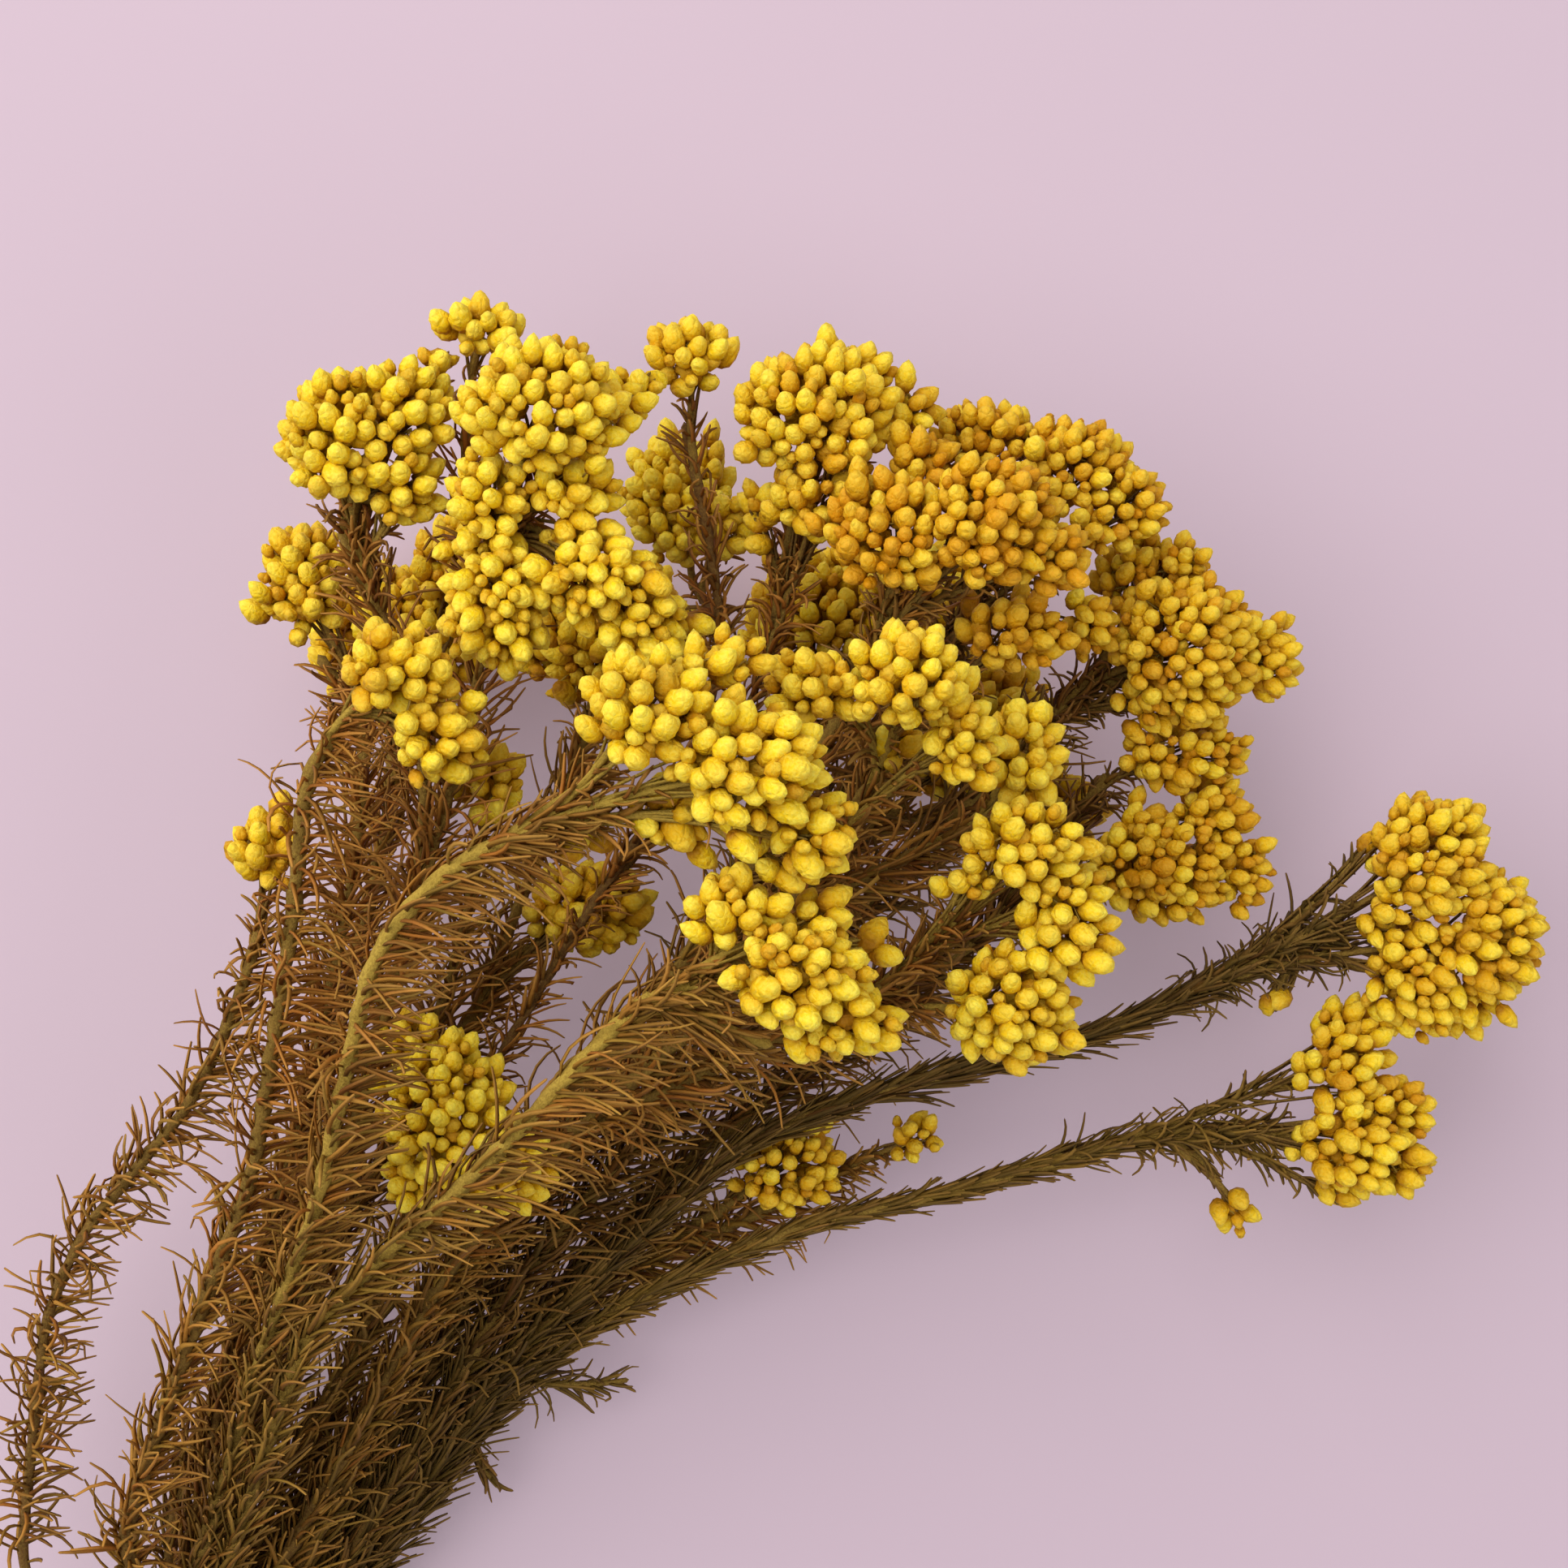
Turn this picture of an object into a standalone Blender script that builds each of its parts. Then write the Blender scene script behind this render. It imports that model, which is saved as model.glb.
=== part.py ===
"""A bunch of dried rice flower, tied with twine and lying on its side on a table.

Nineteen leafy stems come out of one tie and fan out. Each ends in flat domes of papery
yellow buds, carried by thin ribs. All lengths below are in millimetres. The plan has its
own axes: x to the right and y up as one looks down on the lying bunch, z above the table.
"""

import math
import random

import bpy
import bmesh
from mathutils import Vector
from mathutils.bvhtree import BVHTree

MM = 0.001
SEED = 7

# Where the plan lies in the finished frame: the bunch points along +Y there.
LENGTH_TURN = math.radians(57)
PLAN_CENTRE = (11.5, -87.0)

# The tie and the bare ends below it
TIE_ALONG = -165.0
END_ALONG = -232.0
SLOT_PITCH = 3.6
ROW_HEIGHTS = {"top": 9.5, "middle": 6.3, "bottom": 3.1}
ROW_OFFSETS = {"top": -9.0, "middle": -10.8, "bottom": -9.0}
END_SPREAD = 1.5
END_JITTER = 8.0
HELD_HALF_LENGTH = 9.0
TIE_THICKNESS = 1.3
TIE_WIDTH = 9.0
TIE_HALF_WIDTH = 12.85
TIE_FLATNESS = 1.04
TIE_SQUARENESS = 0.55
TIE_STEPS = 16
TIE_TURNS = 3
TIE_GROOVE = 0.25

# Stems
STEM_RADIUS = 1.5
TIP_RADIUS = 1.0
FORK_RADIUS = 0.95
RIB_RADIUS = 0.45
STEM_SIDES = 5
FORK_SIDES = 3
FEW_SIDES = 3
LONE_LOBE_RIBS = 2
RIB_LEAN = 0.5
RIB_SINK = 0.5
RIB_GAPS = (0.5, 0.7, 0.9, 1.2)
RIB_CLEARANCE = 0.25
SHORTEST_RIB = 1.5

# Needles
NEEDLE_LENGTH = 10.0
NEEDLE_RADIUS = 0.75
NEEDLE_SPACING = 14.5
NEEDLE_VARIES = 0.15
NEEDLE_OUT = 0.66
NEEDLE_FORWARD = 0.72
NEEDLE_DROOP = 0.12
NEEDLE_TRIES = 7
FULL_LENGTH_TRIES = 4
SHORT_NEEDLE = 0.75
TURN_PER_TRY = 3.1
LOWEST_TIP = 0.6
LEAFY_FROM_ALONG = -128.0

# Buds, drawn larger than life here
BUD_PITCH = 8.5
VALLEY_DEPTH = 3.6
SHOULDER_DEPTH = 1.5
SHOULDER_REACH = 0.74
TIP_JITTER = 0.35
LEAST_BUD_SCALE = 0.72
FULL_SIZE_LOBE = 8.5
BACK_LEVEL = -0.3
ROUNDED_LEVEL = 0.3
FEWEST_SITES = 11
LOBE_GROWTH = 1.12
DOME_DEPTH = 0.8
DOME_EXTRA = 0.8
MOST_BUD_SCALE = 1.15
BUD_HEIGHTS = (1.0, 0.75, 0.5, 0.25)
SMALLEST_CORE = 1.2
LINK_RADIUS = 1.5
CLEARANCE = 0.35

SHARP_FROM = math.radians(38)
GOLDEN_ANGLE = math.pi * (3 - math.sqrt(5))
UP = Vector((0, 0, 1))

# Each stem: its slot in the tie, then its own run and its forks, as points (x, y, z).
STEMS = {
    "a": ("top", 1, [
        [(-67, -71, 52), (-59, -54, 64), (-54, -36, 72), (-50, -21, 77), (-43, -12, 80), (-35, -7, 80),
         (-27, -5, 78), (-22, -2, 77)]]),
    "b": ("top", 2, [
        [(-62, -71, 54), (-50, -59, 62), (-41, -51, 69), (-32, -42, 73), (-24, -33, 76), (-17, -26, 77),
         (-8, -23, 74)],
        [(-17, -26, 77), (-10, -29, 74), (-2, -32, 72)]]),
    "c": ("top", 3, [
        [(-45, -65, 38), (-29, -47, 46), (-11, -31, 54), (1, -16, 60), (11, 0, 63)],
        [(-29, -47, 46), (-7, -36, 51), (9, -29, 54), (21, -19, 56)],
        [(9, -29, 54), (21, -29, 54)],
        [(1, -16, 60), (15, -10, 54), (26, -5, 51)]]),
    "d": ("middle", 2, [
        [(-67, -70, 38), (-56, -42, 44), (-50, -20, 46), (-47, -4, 48), (-48, 9, 49), (-53, 22, 49),
         (-58, 33, 49)],
        [(-50, -20, 46), (-43, 1, 50), (-40, 12, 54), (-38, 22, 55), (-36, 33, 57)],
        [(-38, 22, 55), (-42, 39, 52), (-41, 52, 51)]]),
    "e": ("middle", 4, [
        [(-55, -67, 30), (-40, -39, 36), (-25, -15, 41), (-11, 5, 45), (-8, 20, 48), (-10, 33, 50),
         (-13, 47, 49)],
        [(-25, -15, 41), (-9, 2, 40), (-2, 16, 43), (0, 30, 46)],
        [(-8, 20, 48), (-11, 25, 36), (-13, 28, 28)]]),
    "f": ("top", 4, [
        [(-45, -66, 32), (-27, -41, 37), (-9, -18, 42), (4, 3, 46), (13, 20, 49)],
        [(4, 3, 46), (14, 8, 44), (23, 13, 43)]]),
    "g": ("middle", 5, [
        [(-42, -68, 24), (-23, -42, 27), (-4, -17, 30), (13, 5, 33), (26, 25, 35)]]),
    "h": ("top", 5, [
        [(-37, -69, 25), (-17, -46, 27), (4, -24, 28), (22, -6, 30), (41, 13, 32)]]),
    "i": ("bottom", 4, [
        [(-35, -75, 18), (-13, -53, 20), (10, -35, 22), (28, -21, 24), (41, -14, 25)],
        [(28, -21, 24), (38, -8, 25), (45, 1, 27)]]),
    "j": ("middle", 6, [
        [(-39, -82, 19), (-22, -65, 23), (-7, -51, 27), (9, -44, 29), (26, -39, 30), (42, -35, 31),
         (58, -28, 31), (72, -20, 30)]]),
    "k": ("bottom", 5, [
        [(-44, -92, 12), (-31, -79, 17), (-15, -70, 20), (4, -62, 22), (22, -58, 23), (38, -53, 24),
         (53, -49, 25), (61, -49, 25)],
        [(53, -49, 25), (59, -53, 24), (61, -56, 24)]]),
    "l": ("middle", 1, [
        [(-76, -76, 28), (-66, -46, 33), (-60, -20, 36), (-57, -2, 37), (-57, 9, 37), (-63, 17, 36)]]),
    "m": ("top", 0, [
        [(-91, -103, 32), (-78, -72, 46), (-69, -51, 53), (-65, -30, 58), (-62, -14, 61), (-61, -3, 63),
         (-59, 4, 65), (-54, 9, 66)]]),
    "n": ("middle", 0, [
        [(-104, -122, 15), (-107, -110, 25), (-103, -88, 33), (-100, -72, 38), (-94, -60, 42),
         (-86, -51, 45), (-78, -42, 48), (-74, -34, 50), (-70, -25, 51), (-68, -16, 51)]]),
    "o": ("middle", 3, [
        [(-70, -95, 24), (-60, -80, 31), (-53, -66, 37), (-48, -53, 41)]]),
    "p": ("bottom", 3, [
        [(-52, -96, 8), (-38, -82, 12), (-24, -71, 14), (-9, -61, 16)],
        [(-24, -71, 14), (-2, -61, 15), (13, -53, 16)]]),
    "q": ("bottom", 1, [
        [(-65, -68, 24), (-53, -47, 26), (-43, -32, 27), (-36, -23, 25)],
        [(-53, -47, 26), (-45, -24, 32), (-41, -8, 37)],
        [(-43, -32, 27), (-33, -6, 22), (-26, 12, 20)]]),
    "r": ("bottom", 2, [
        [(-38, -55, 14), (-12, -30, 15), (7, -11, 15), (17, -3, 15)],
        [(-12, -30, 15), (-1, -6, 15), (4, 10, 15)]]),
    "s": ("bottom", 0, [
        [(-88, -102, 11), (-71, -64, 16), (-62, -27, 16), (-57, -7, 16), (-56, 4, 16)]]),
}

# Each head: the run of its stem that carries it, then its lobes (x, y, z, half width, half height).
HEADS = {
    "a1": (0, [(-16, 9, 88, 8.5, 7.5), (-4, 2, 87, 9.5, 8.5), (4, -6, 84, 6, 6), (-7, 15, 84, 6, 4)]),
    "b1": (0, [(-6, -14.5, 80, 7, 5.5), (4, -16, 78, 6, 5), (2, -23, 82, 9, 7.5), (8, -29, 79, 7.5, 5)]),
    "c1": (0, [(4, 12, 77, 7, 5.5), (15, 13, 79, 7.5, 7), (22, 6, 75, 5.5, 6.5)]),
    "c2": (1, [(30, -7, 70, 8, 6), (35.5, -16.5, 67, 6.5, 8.2), (23, -12, 67, 4.5, 3.5)]),
    "c3": (2, [(29, -28, 64, 8.5, 8.5)]),
    "c4": (3, [(30.5, 4, 61, 5.8, 7.8)]),
    "d1": (0, [(-56, 44.5, 60, 8.8, 9), (-48, 48, 61, 6.5, 7), (-48, 39, 59, 5.5, 6)]),
    "d2": (1, [(-30, 47, 70, 10.5, 8.5), (-20, 49, 63, 4, 4.5), (-37, 36, 66, 6, 6.5), (-26, 37, 65, 6.5, 5.5)]),
    "d3": (2, [(-39, 59, 57, 6.5, 5)]),
    "d4": (1, [(-36, 22, 66, 7.5, 8.5), (-23, 25, 68, 8.5, 6), (-17, 20, 65, 6, 6)]),
    "e1": (0, [(-12, 56, 55, 6.5, 5.5)]),
    "e2": (1, [(4, 48, 57, 10.5, 9), (10, 54, 55, 5.5, 4.2), (17, 49, 54, 4.2, 4.6), (5, 38, 55, 7.5, 6.5)]),
    "e3": (2, [(-14, 39, 32, 8.5, 9.5)]),
    "f1": (0, [(14, 32, 62, 9, 7.5), (26, 33, 63, 9.5, 8.5), (34, 29, 60, 6, 5.5)]),
    "f2": (1, [(30, 20, 52, 8, 5.5)]),
    "g1": (0, [(27, 45, 45, 8.5, 6.5), (37.5, 41.5, 47, 8.8, 7.8), (46, 37, 48, 5.5, 6)]),
    "h1": (0, [(49, 28, 37, 7.5, 6.5), (54, 19, 41, 10, 10), (53, 11, 38, 8, 5.5), (66, 17, 38, 5, 6)]),
    "i1": (0, [(52, -11, 33, 10.2, 8.4), (59, -4, 33, 6, 6), (63.5, -12, 32, 4.5, 6)]),
    "i2": (1, [(55, 4, 35, 9, 5.5)]),
    "j1": (0, [(88, -11, 35, 8.8, 10.4), (95.5, -21, 34, 9, 10), (88, -27.5, 33, 8.5, 8)]),
    "k1": (0, [(78, -38, 30, 6.5, 8.5), (79.5, -49.5, 29, 8.4, 8.5)]),
    "k2": (1, [(64, -60, 25, 4, 4)]),
    "l1": (0, [(-64.5, 27.5, 40, 6.8, 8)]),
    "m1": (0, [(-47, 14, 75, 7.5, 6), (-42, 5, 73, 6, 6)]),
    "n1": (0, [(-67, -8, 55, 6, 5.5)]),
    "o1": (0, [(-43.5, -43, 50, 9.2, 10.4), (-37, -51, 49, 7, 6.5), (-49, -33, 48, 4.5, 4.5)]),
    "p1": (0, [(0, -54, 22, 8.5, 7)]),
    "p2": (1, [(19, -50, 21, 5, 4)]),
    "q1": (0, [(-27, -17, 28, 9.5, 7)]),
    "q2": (1, [(-39, 0, 44, 5, 6.5)]),
    "q3": (2, [(-26, 22, 11, 13, 11)]),
    "r1": (0, [(27, 8, 10, 13, 11.5), (38, -5, 15, 8, 8)]),
    "r2": (1, [(7, 23, 10, 13, 11.5), (21, 28, 17, 9, 8)]),
    "s1": (0, [(-56, 21, 10, 13, 11.5), (-44, 32, 17, 9, 8)]),
}


def on_plan(along, across, z):
    """A point given along and across the bunch, on the plan's axes."""
    cos, sin = math.cos(LENGTH_TURN), math.sin(LENGTH_TURN)
    return Vector((along * cos + across * sin, along * sin - across * cos, z))


def along_of(point):
    return point.x * math.cos(LENGTH_TURN) + point.y * math.sin(LENGTH_TURN)


def in_frame(point):
    """A plan point in millimetres as a point of the finished frame in metres."""
    cos, sin = math.cos(LENGTH_TURN), math.sin(LENGTH_TURN)
    across = point.x * sin - point.y * cos
    along = point.x * cos + point.y * sin
    return ((across - PLAN_CENTRE[0]) * MM, (along - PLAN_CENTRE[1]) * MM, point.z * MM)


def shoot(points, radii, sides, spin=0.0):
    """A closed body of rings along a path; a radius of 0 closes it to a point."""
    rings = []
    verts = []
    side = (points[-1] - points[0]).orthogonal().normalized()
    for i, point in enumerate(points):
        before, after = points[max(i - 1, 0)], points[min(i + 1, len(points) - 1)]
        forward = (after - before).normalized()
        side = (side - forward * side.dot(forward)).normalized()
        other = forward.cross(side)
        count = sides if radii[i] else 1
        rings.append([len(verts) + k for k in range(count)])
        for k in range(count):
            turn = spin + 2 * math.pi * k / sides
            verts.append(point + (side * math.cos(turn) + other * math.sin(turn)) * radii[i])
    faces = []
    for low, high in zip(rings, rings[1:]):
        for k in range(sides):
            following = (k + 1) % sides
            if len(low) == 1:
                faces.append((low[0], high[following], high[k]))
            elif len(high) == 1:
                faces.append((low[k], low[following], high[0]))
            else:
                faces.append((low[k], low[following], high[following], high[k]))
    if len(rings[0]) > 1:
        faces.append(tuple(reversed(rings[0])))
    if len(rings[-1]) > 1:
        faces.append(tuple(rings[-1]))
    return verts, faces


class Room:
    """Keeps the bodies of different nodes clear of one another."""

    def __init__(self):
        self.held = []

    @staticmethod
    def known(verts, faces):
        centre = sum(verts, Vector()) / len(verts)
        reach = max((v - centre).length for v in verts)
        return centre, reach, BVHTree.FromPolygons(verts, faces)

    def is_free(self, node, verts, faces):
        centre, reach, tree = self.known(verts, faces)
        for other, there, far, held, solid in self.held:
            if other == node or (there - centre).length > far + reach:
                continue
            if tree.overlap(held):
                return False
            if solid:
                found, normal, _, _ = held.find_nearest(centre)
                if (centre - found).dot(normal) < 0:
                    return False
        return True

    def hold(self, node, verts, faces, solid=False):
        self.held.append((node, *self.known(verts, faces), solid))


def stem_run(name):
    """The whole main run of a stem, from its cut end through its slot in the tie."""
    row, place, paths = STEMS[name]
    across = ROW_OFFSETS[row] + SLOT_PITCH * place
    dice = random.Random(f"{SEED} end {name}")
    end = END_ALONG + dice.uniform(-END_JITTER, END_JITTER)
    height = ROW_HEIGHTS[row]
    return [
        on_plan(end, across * END_SPREAD, height),
        on_plan(TIE_ALONG - HELD_HALF_LENGTH, across, height),
        on_plan(TIE_ALONG + HELD_HALF_LENGTH, across, height),
    ] + [Vector(point) for point in paths[0]]


def runs_of(name):
    """(points, radii, sides) of a stem's main run and of each fork."""
    main = stem_run(name)
    last = len(main) - 1
    radii = [STEM_RADIUS + (TIP_RADIUS - STEM_RADIUS) * i / last for i in range(last + 1)]
    runs = [(main, radii, STEM_SIDES)]
    for path in STEMS[name][2][1:]:
        points = [Vector(p) for p in path]
        radii = [FORK_RADIUS] * len(points)
        runs.append((points, radii, FORK_SIDES))
    return runs


class Lobe:
    """One dome of a head: an ellipsoid whose outer side is set with pointed buds."""

    def __init__(self, hub, centre, wide, high, dice):
        self.centre = centre
        self.half = Vector((wide, high, DOME_DEPTH * min(wide, high) + DOME_EXTRA)) * LOBE_GROWTH
        self.scale = min(MOST_BUD_SCALE, max(LEAST_BUD_SCALE, min(wide, high) / FULL_SIZE_LOBE))
        spacing = BUD_PITCH * self.scale
        facing = (centre - hub).normalized()
        size = (self.half.x * self.half.y + self.half.y * self.half.z + self.half.z * self.half.x) / 3
        count = max(FEWEST_SITES, round(4 * math.pi * size / spacing**2))
        tilt = facing.rotation_difference(UP).inverted()
        turn = dice.uniform(0, math.pi)
        build = bmesh.new()
        for i in range(count):
            level = 1 - 2 * (i + 0.5) / count
            around = turn + i * GOLDEN_ANGLE
            flat = math.sqrt(1 - level * level)
            build.verts.new(tilt @ Vector((flat * math.cos(around), flat * math.sin(around), level)))
        bmesh.ops.convex_hull(build, input=build.verts)
        build.verts.index_update()
        build.faces.index_update()
        self.sites = [v.co.copy() for v in build.verts]
        self.gaps = [sum((v.co for v in face.verts), Vector()).normalized() for face in build.faces]
        self.round = []
        for site in build.verts:
            side = site.co.orthogonal().normalized()
            other = site.co.cross(side)
            order = sorted(
                (math.atan2(self.gaps[f.index].dot(other), self.gaps[f.index].dot(side)), f.index)
                for f in site.link_faces
            )
            self.round.append([index for _, index in order])
        build.free()
        self.open = [site.dot(facing) > BACK_LEVEL for site in self.sites]
        self.height = [0.0] * len(self.sites)
        self.rounded = [site.z > ROUNDED_LEVEL for site in self.sites]
        self.lift = [dice.uniform(-TIP_JITTER, TIP_JITTER) for _ in self.sites]

    def at(self, unit, depth):
        half = [max(h - depth, SMALLEST_CORE) for h in self.half]
        point = self.centre + Vector((half[0] * unit.x, half[1] * unit.y, half[2] * unit.z))
        point.z = max(point.z, 0.0)
        return point

    def valley(self, index):
        return self.at(self.gaps[index], VALLEY_DEPTH * self.scale)

    def bud(self, i, height, grown=0.0):
        """The tip and the shoulder points of one bud."""
        deep = VALLEY_DEPTH * self.scale
        tip = self.at(self.sites[i], deep * (1 - height) - self.lift[i] * height - grown)
        depth = deep - (deep - SHOULDER_DEPTH * self.scale) * height
        ring = [
            self.at(self.sites[i].lerp(self.gaps[g], SHOULDER_REACH).normalized(), depth - grown)
            for g in self.round[i]
        ]
        return tip, ring

    def core(self):
        """The closed body without its buds."""
        verts = [self.valley(g) for g in range(len(self.gaps))]
        return verts, [tuple(around) for around in self.round]

    def probe(self, i, height):
        """One bud as a closed body of its own, a clearance larger."""
        tip, ring = self.bud(i, height, CLEARANCE)
        base = [self.valley(g) for g in self.round[i]]
        verts = [tip] + ring + base
        size = len(ring)
        faces = [tuple(range(2 * size, size, -1))]
        for k in range(size):
            following = (k + 1) % size
            faces.append((0, 1 + k, 1 + following))
            faces.append((1 + k, 1 + size + k, 1 + size + following, 1 + following))
        return verts, faces

    def holds(self, point):
        away = point - self.centre
        half = [max(h - VALLEY_DEPTH * self.scale, SMALLEST_CORE) for h in self.half]
        return sum((a / h) ** 2 for a, h in zip(away, half)) < 1

    def body(self):
        verts = [self.valley(g) for g in range(len(self.gaps))]
        faces = []
        for i in range(len(self.sites)):
            around = self.round[i]
            if self.height[i] <= 0:
                faces.append(tuple(around))
                continue
            tip, ring = self.bud(i, self.height[i])
            first = len(verts)
            size = len(ring)
            if not self.rounded[i]:
                verts.append(tip)
                for k in range(size):
                    faces.append((first, around[k], around[(k + 1) % size]))
                continue
            verts += [tip] + ring
            for k in range(size):
                following = (k + 1) % size
                faces.append((first, first + 1 + k, first + 1 + following))
                faces.append((first + 1 + k, around[k], around[following], first + 1 + following))
        return verts, faces


def lobes_of(head):
    run, lobes = HEADS[head]
    hub = runs_of(head[0])[run][0][-1]
    dice = random.Random(f"{SEED} head {head}")
    return hub, [Lobe(hub, Vector((x, y, z)), wide, high, dice) for x, y, z, wide, high in lobes]


def settle_buds(head, lobes, room):
    """Lowers or drops each bud that would meet another node, or that a neighbouring lobe hides."""
    for lobe in lobes:
        for i in range(len(lobe.sites)):
            if not lobe.open[i]:
                continue
            if any(other.holds(lobe.bud(i, 1.0)[0]) for other in lobes if other is not lobe):
                continue
            for height in BUD_HEIGHTS:
                probe = lobe.probe(i, height)
                if room.is_free("head_" + head, *probe):
                    lobe.height[i] = height
                    room.hold("head_" + head, *probe)
                    break


def links_of(head):
    """Short thick branchlets that hold the lobes of a head together."""
    centres = [Vector(lobe[:3]) for lobe in HEADS[head][1]]
    links = []
    for index in range(1, len(centres)):
        centre = centres[index]
        nearest = min(centres[:index], key=lambda other: (other - centre).length)
        links.append(shoot([nearest, centre], [LINK_RADIUS, LINK_RADIUS], FORK_SIDES))
    return links


def ribs_of(head, hub, lobes, room):
    """Ribs from the hub to just under the core of each lobe."""
    node = "stem_" + head[0]
    ribs = []
    count = LONE_LOBE_RIBS if len(lobes) == 1 else 1
    points = runs_of(head[0])[HEADS[head][0]][0]
    forward = (points[-1] - points[-2]).normalized()
    for lobe in lobes:
        tree = BVHTree.FromPolygons(*lobe.core())
        for k in range(count):
            lean = (k - (count - 1) / 2) * RIB_LEAN
            spot = lobe.centre + Vector((lobe.half.x, lobe.half.y, 0)) * lean
            away = (hub - spot).normalized()
            hit, _, _, _ = tree.ray_cast(hub, -away)
            if hit is None:
                continue
            for gap in RIB_GAPS:
                end = hit + away * gap
                if (end - hub).length < SHORTEST_RIB or (end - hub).dot(hit - hub) < 0:
                    break
                sideways = (end - hub) - forward * (end - hub).dot(forward)
                start = hub - forward * RIB_SINK + sideways.normalized() * RIB_RADIUS
                probe = shoot([start, end], [RIB_RADIUS + RIB_CLEARANCE] * 2, FEW_SIDES)
                if room.is_free(node, *probe):
                    body = shoot([start, end], [RIB_RADIUS] * 2, FEW_SIDES)
                    room.hold(node, *body)
                    ribs.append(body)
                    break
    return ribs


def needle_at(root, forward, radius, number, node, dice, room):
    """A needle that leans towards the stem's tip, or None where there is no room for one."""
    side = forward.orthogonal().normalized()
    other = forward.cross(side)
    for attempt in range(NEEDLE_TRIES):
        turn = (number + attempt * TURN_PER_TRY) * GOLDEN_ANGLE
        out = side * math.cos(turn) + other * math.sin(turn)
        long = NEEDLE_LENGTH * dice.uniform(1 - NEEDLE_VARIES, 1 + NEEDLE_VARIES)
        if attempt >= FULL_LENGTH_TRIES:
            long *= SHORT_NEEDLE
        way = (out * NEEDLE_OUT + forward * NEEDLE_FORWARD - UP * NEEDLE_DROOP).normalized()
        tip = root + way * long
        if tip.z < LOWEST_TIP:
            continue
        ahead = [root + out * radius * 0.6, tip + way * CLEARANCE]
        if room.is_free(node, *shoot(ahead, [NEEDLE_RADIUS + CLEARANCE, CLEARANCE * 1.4], FEW_SIDES)):
            return shoot([root, tip], [NEEDLE_RADIUS, 0], FEW_SIDES, turn)
    return None


def needles_of(stem, room):
    """Needle leaves round the leafy part of every run of a stem, to its tip."""
    node = "stem_" + stem
    dice = random.Random(f"{SEED} needles {stem}")
    needles = []
    for points, radii, _ in runs_of(stem):
        step = 0.0
        number = 0
        for start, end, radius in zip(points, points[1:], radii):
            length = (end - start).length
            forward = (end - start).normalized()
            while step < length:
                root = start + forward * step
                step += NEEDLE_SPACING * dice.uniform(1 - NEEDLE_VARIES, 1 + NEEDLE_VARIES)
                number += 1
                if along_of(root) < LEAFY_FROM_ALONG:
                    continue
                body = needle_at(root, forward, radius, number, node, dice, room)
                if body:
                    room.hold(node, *body)
                    needles.append(body)
            step -= length
    return needles


def material(name, colour, roughness):
    made = bpy.data.materials.new(name)
    made.use_nodes = True
    shader = made.node_tree.nodes["Principled BSDF"]
    shader.inputs["Base Color"].default_value = (*colour, 1)
    shader.inputs["Roughness"].default_value = roughness
    shader.inputs["Metallic"].default_value = 0.0
    return made


def object_from(name, body, collection):
    verts, faces = body
    mesh = bpy.data.meshes.new(name)
    mesh.from_pydata([in_frame(v) for v in verts], [], faces)
    made = bpy.data.objects.new(name, mesh)
    collection.objects.link(made)
    return made


def volume_of(faces):
    total = 0.0
    for face in faces:
        first = face.verts[0].co
        for a, b in zip(face.verts[1:], face.verts[2:]):
            total += first.dot(a.co.cross(b.co)) / 6
    return total


def keep_largest_shell(mesh):
    """Fills sealed hollows and drops loose scraps, by keeping only the largest shell."""
    build = bmesh.new()
    build.from_mesh(mesh)
    bmesh.ops.triangulate(build, faces=build.faces)
    left = set(build.faces)
    shells = []
    while left:
        shell = [left.pop()]
        for face in shell:
            for edge in face.edges:
                for linked in edge.link_faces:
                    if linked in left:
                        left.remove(linked)
                        shell.append(linked)
        shells.append(shell)
    shells.sort(key=volume_of, reverse=True)
    for shell in shells[1:]:
        bmesh.ops.delete(build, geom=shell, context="FACES")
    loose = [v for v in build.verts if not v.link_faces]
    bmesh.ops.delete(build, geom=loose, context="VERTS")
    build.to_mesh(mesh)
    build.free()


def fused(name, bodies, look):
    """One node from many bodies: a single union of the first with a collection of the rest."""
    scene = bpy.context.scene.collection
    node = object_from(name, bodies[0], scene)
    others = bpy.data.collections.new(name + "_repeats")
    scene.children.link(others)
    for i, body in enumerate(bodies[1:]):
        object_from(f"{name}_repeat_{i}", body, others)
    if len(bodies) > 1:
        join = node.modifiers.new("join", "BOOLEAN")
        join.operation = "UNION"
        join.operand_type = "COLLECTION"
        join.collection = others
        join.solver = "MANIFOLD"
    graph = bpy.context.evaluated_depsgraph_get()
    joined = bpy.data.meshes.new_from_object(node.evaluated_get(graph))
    node.modifiers.clear()
    for helper in list(others.objects):
        bpy.data.objects.remove(helper)
    bpy.data.collections.remove(others)
    keep_largest_shell(joined)
    node.data = joined
    joined.materials.clear()
    joined.materials.append(look)
    joined.shade_smooth()
    joined.set_sharp_from_angle(angle=SHARP_FROM)
    return node


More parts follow.
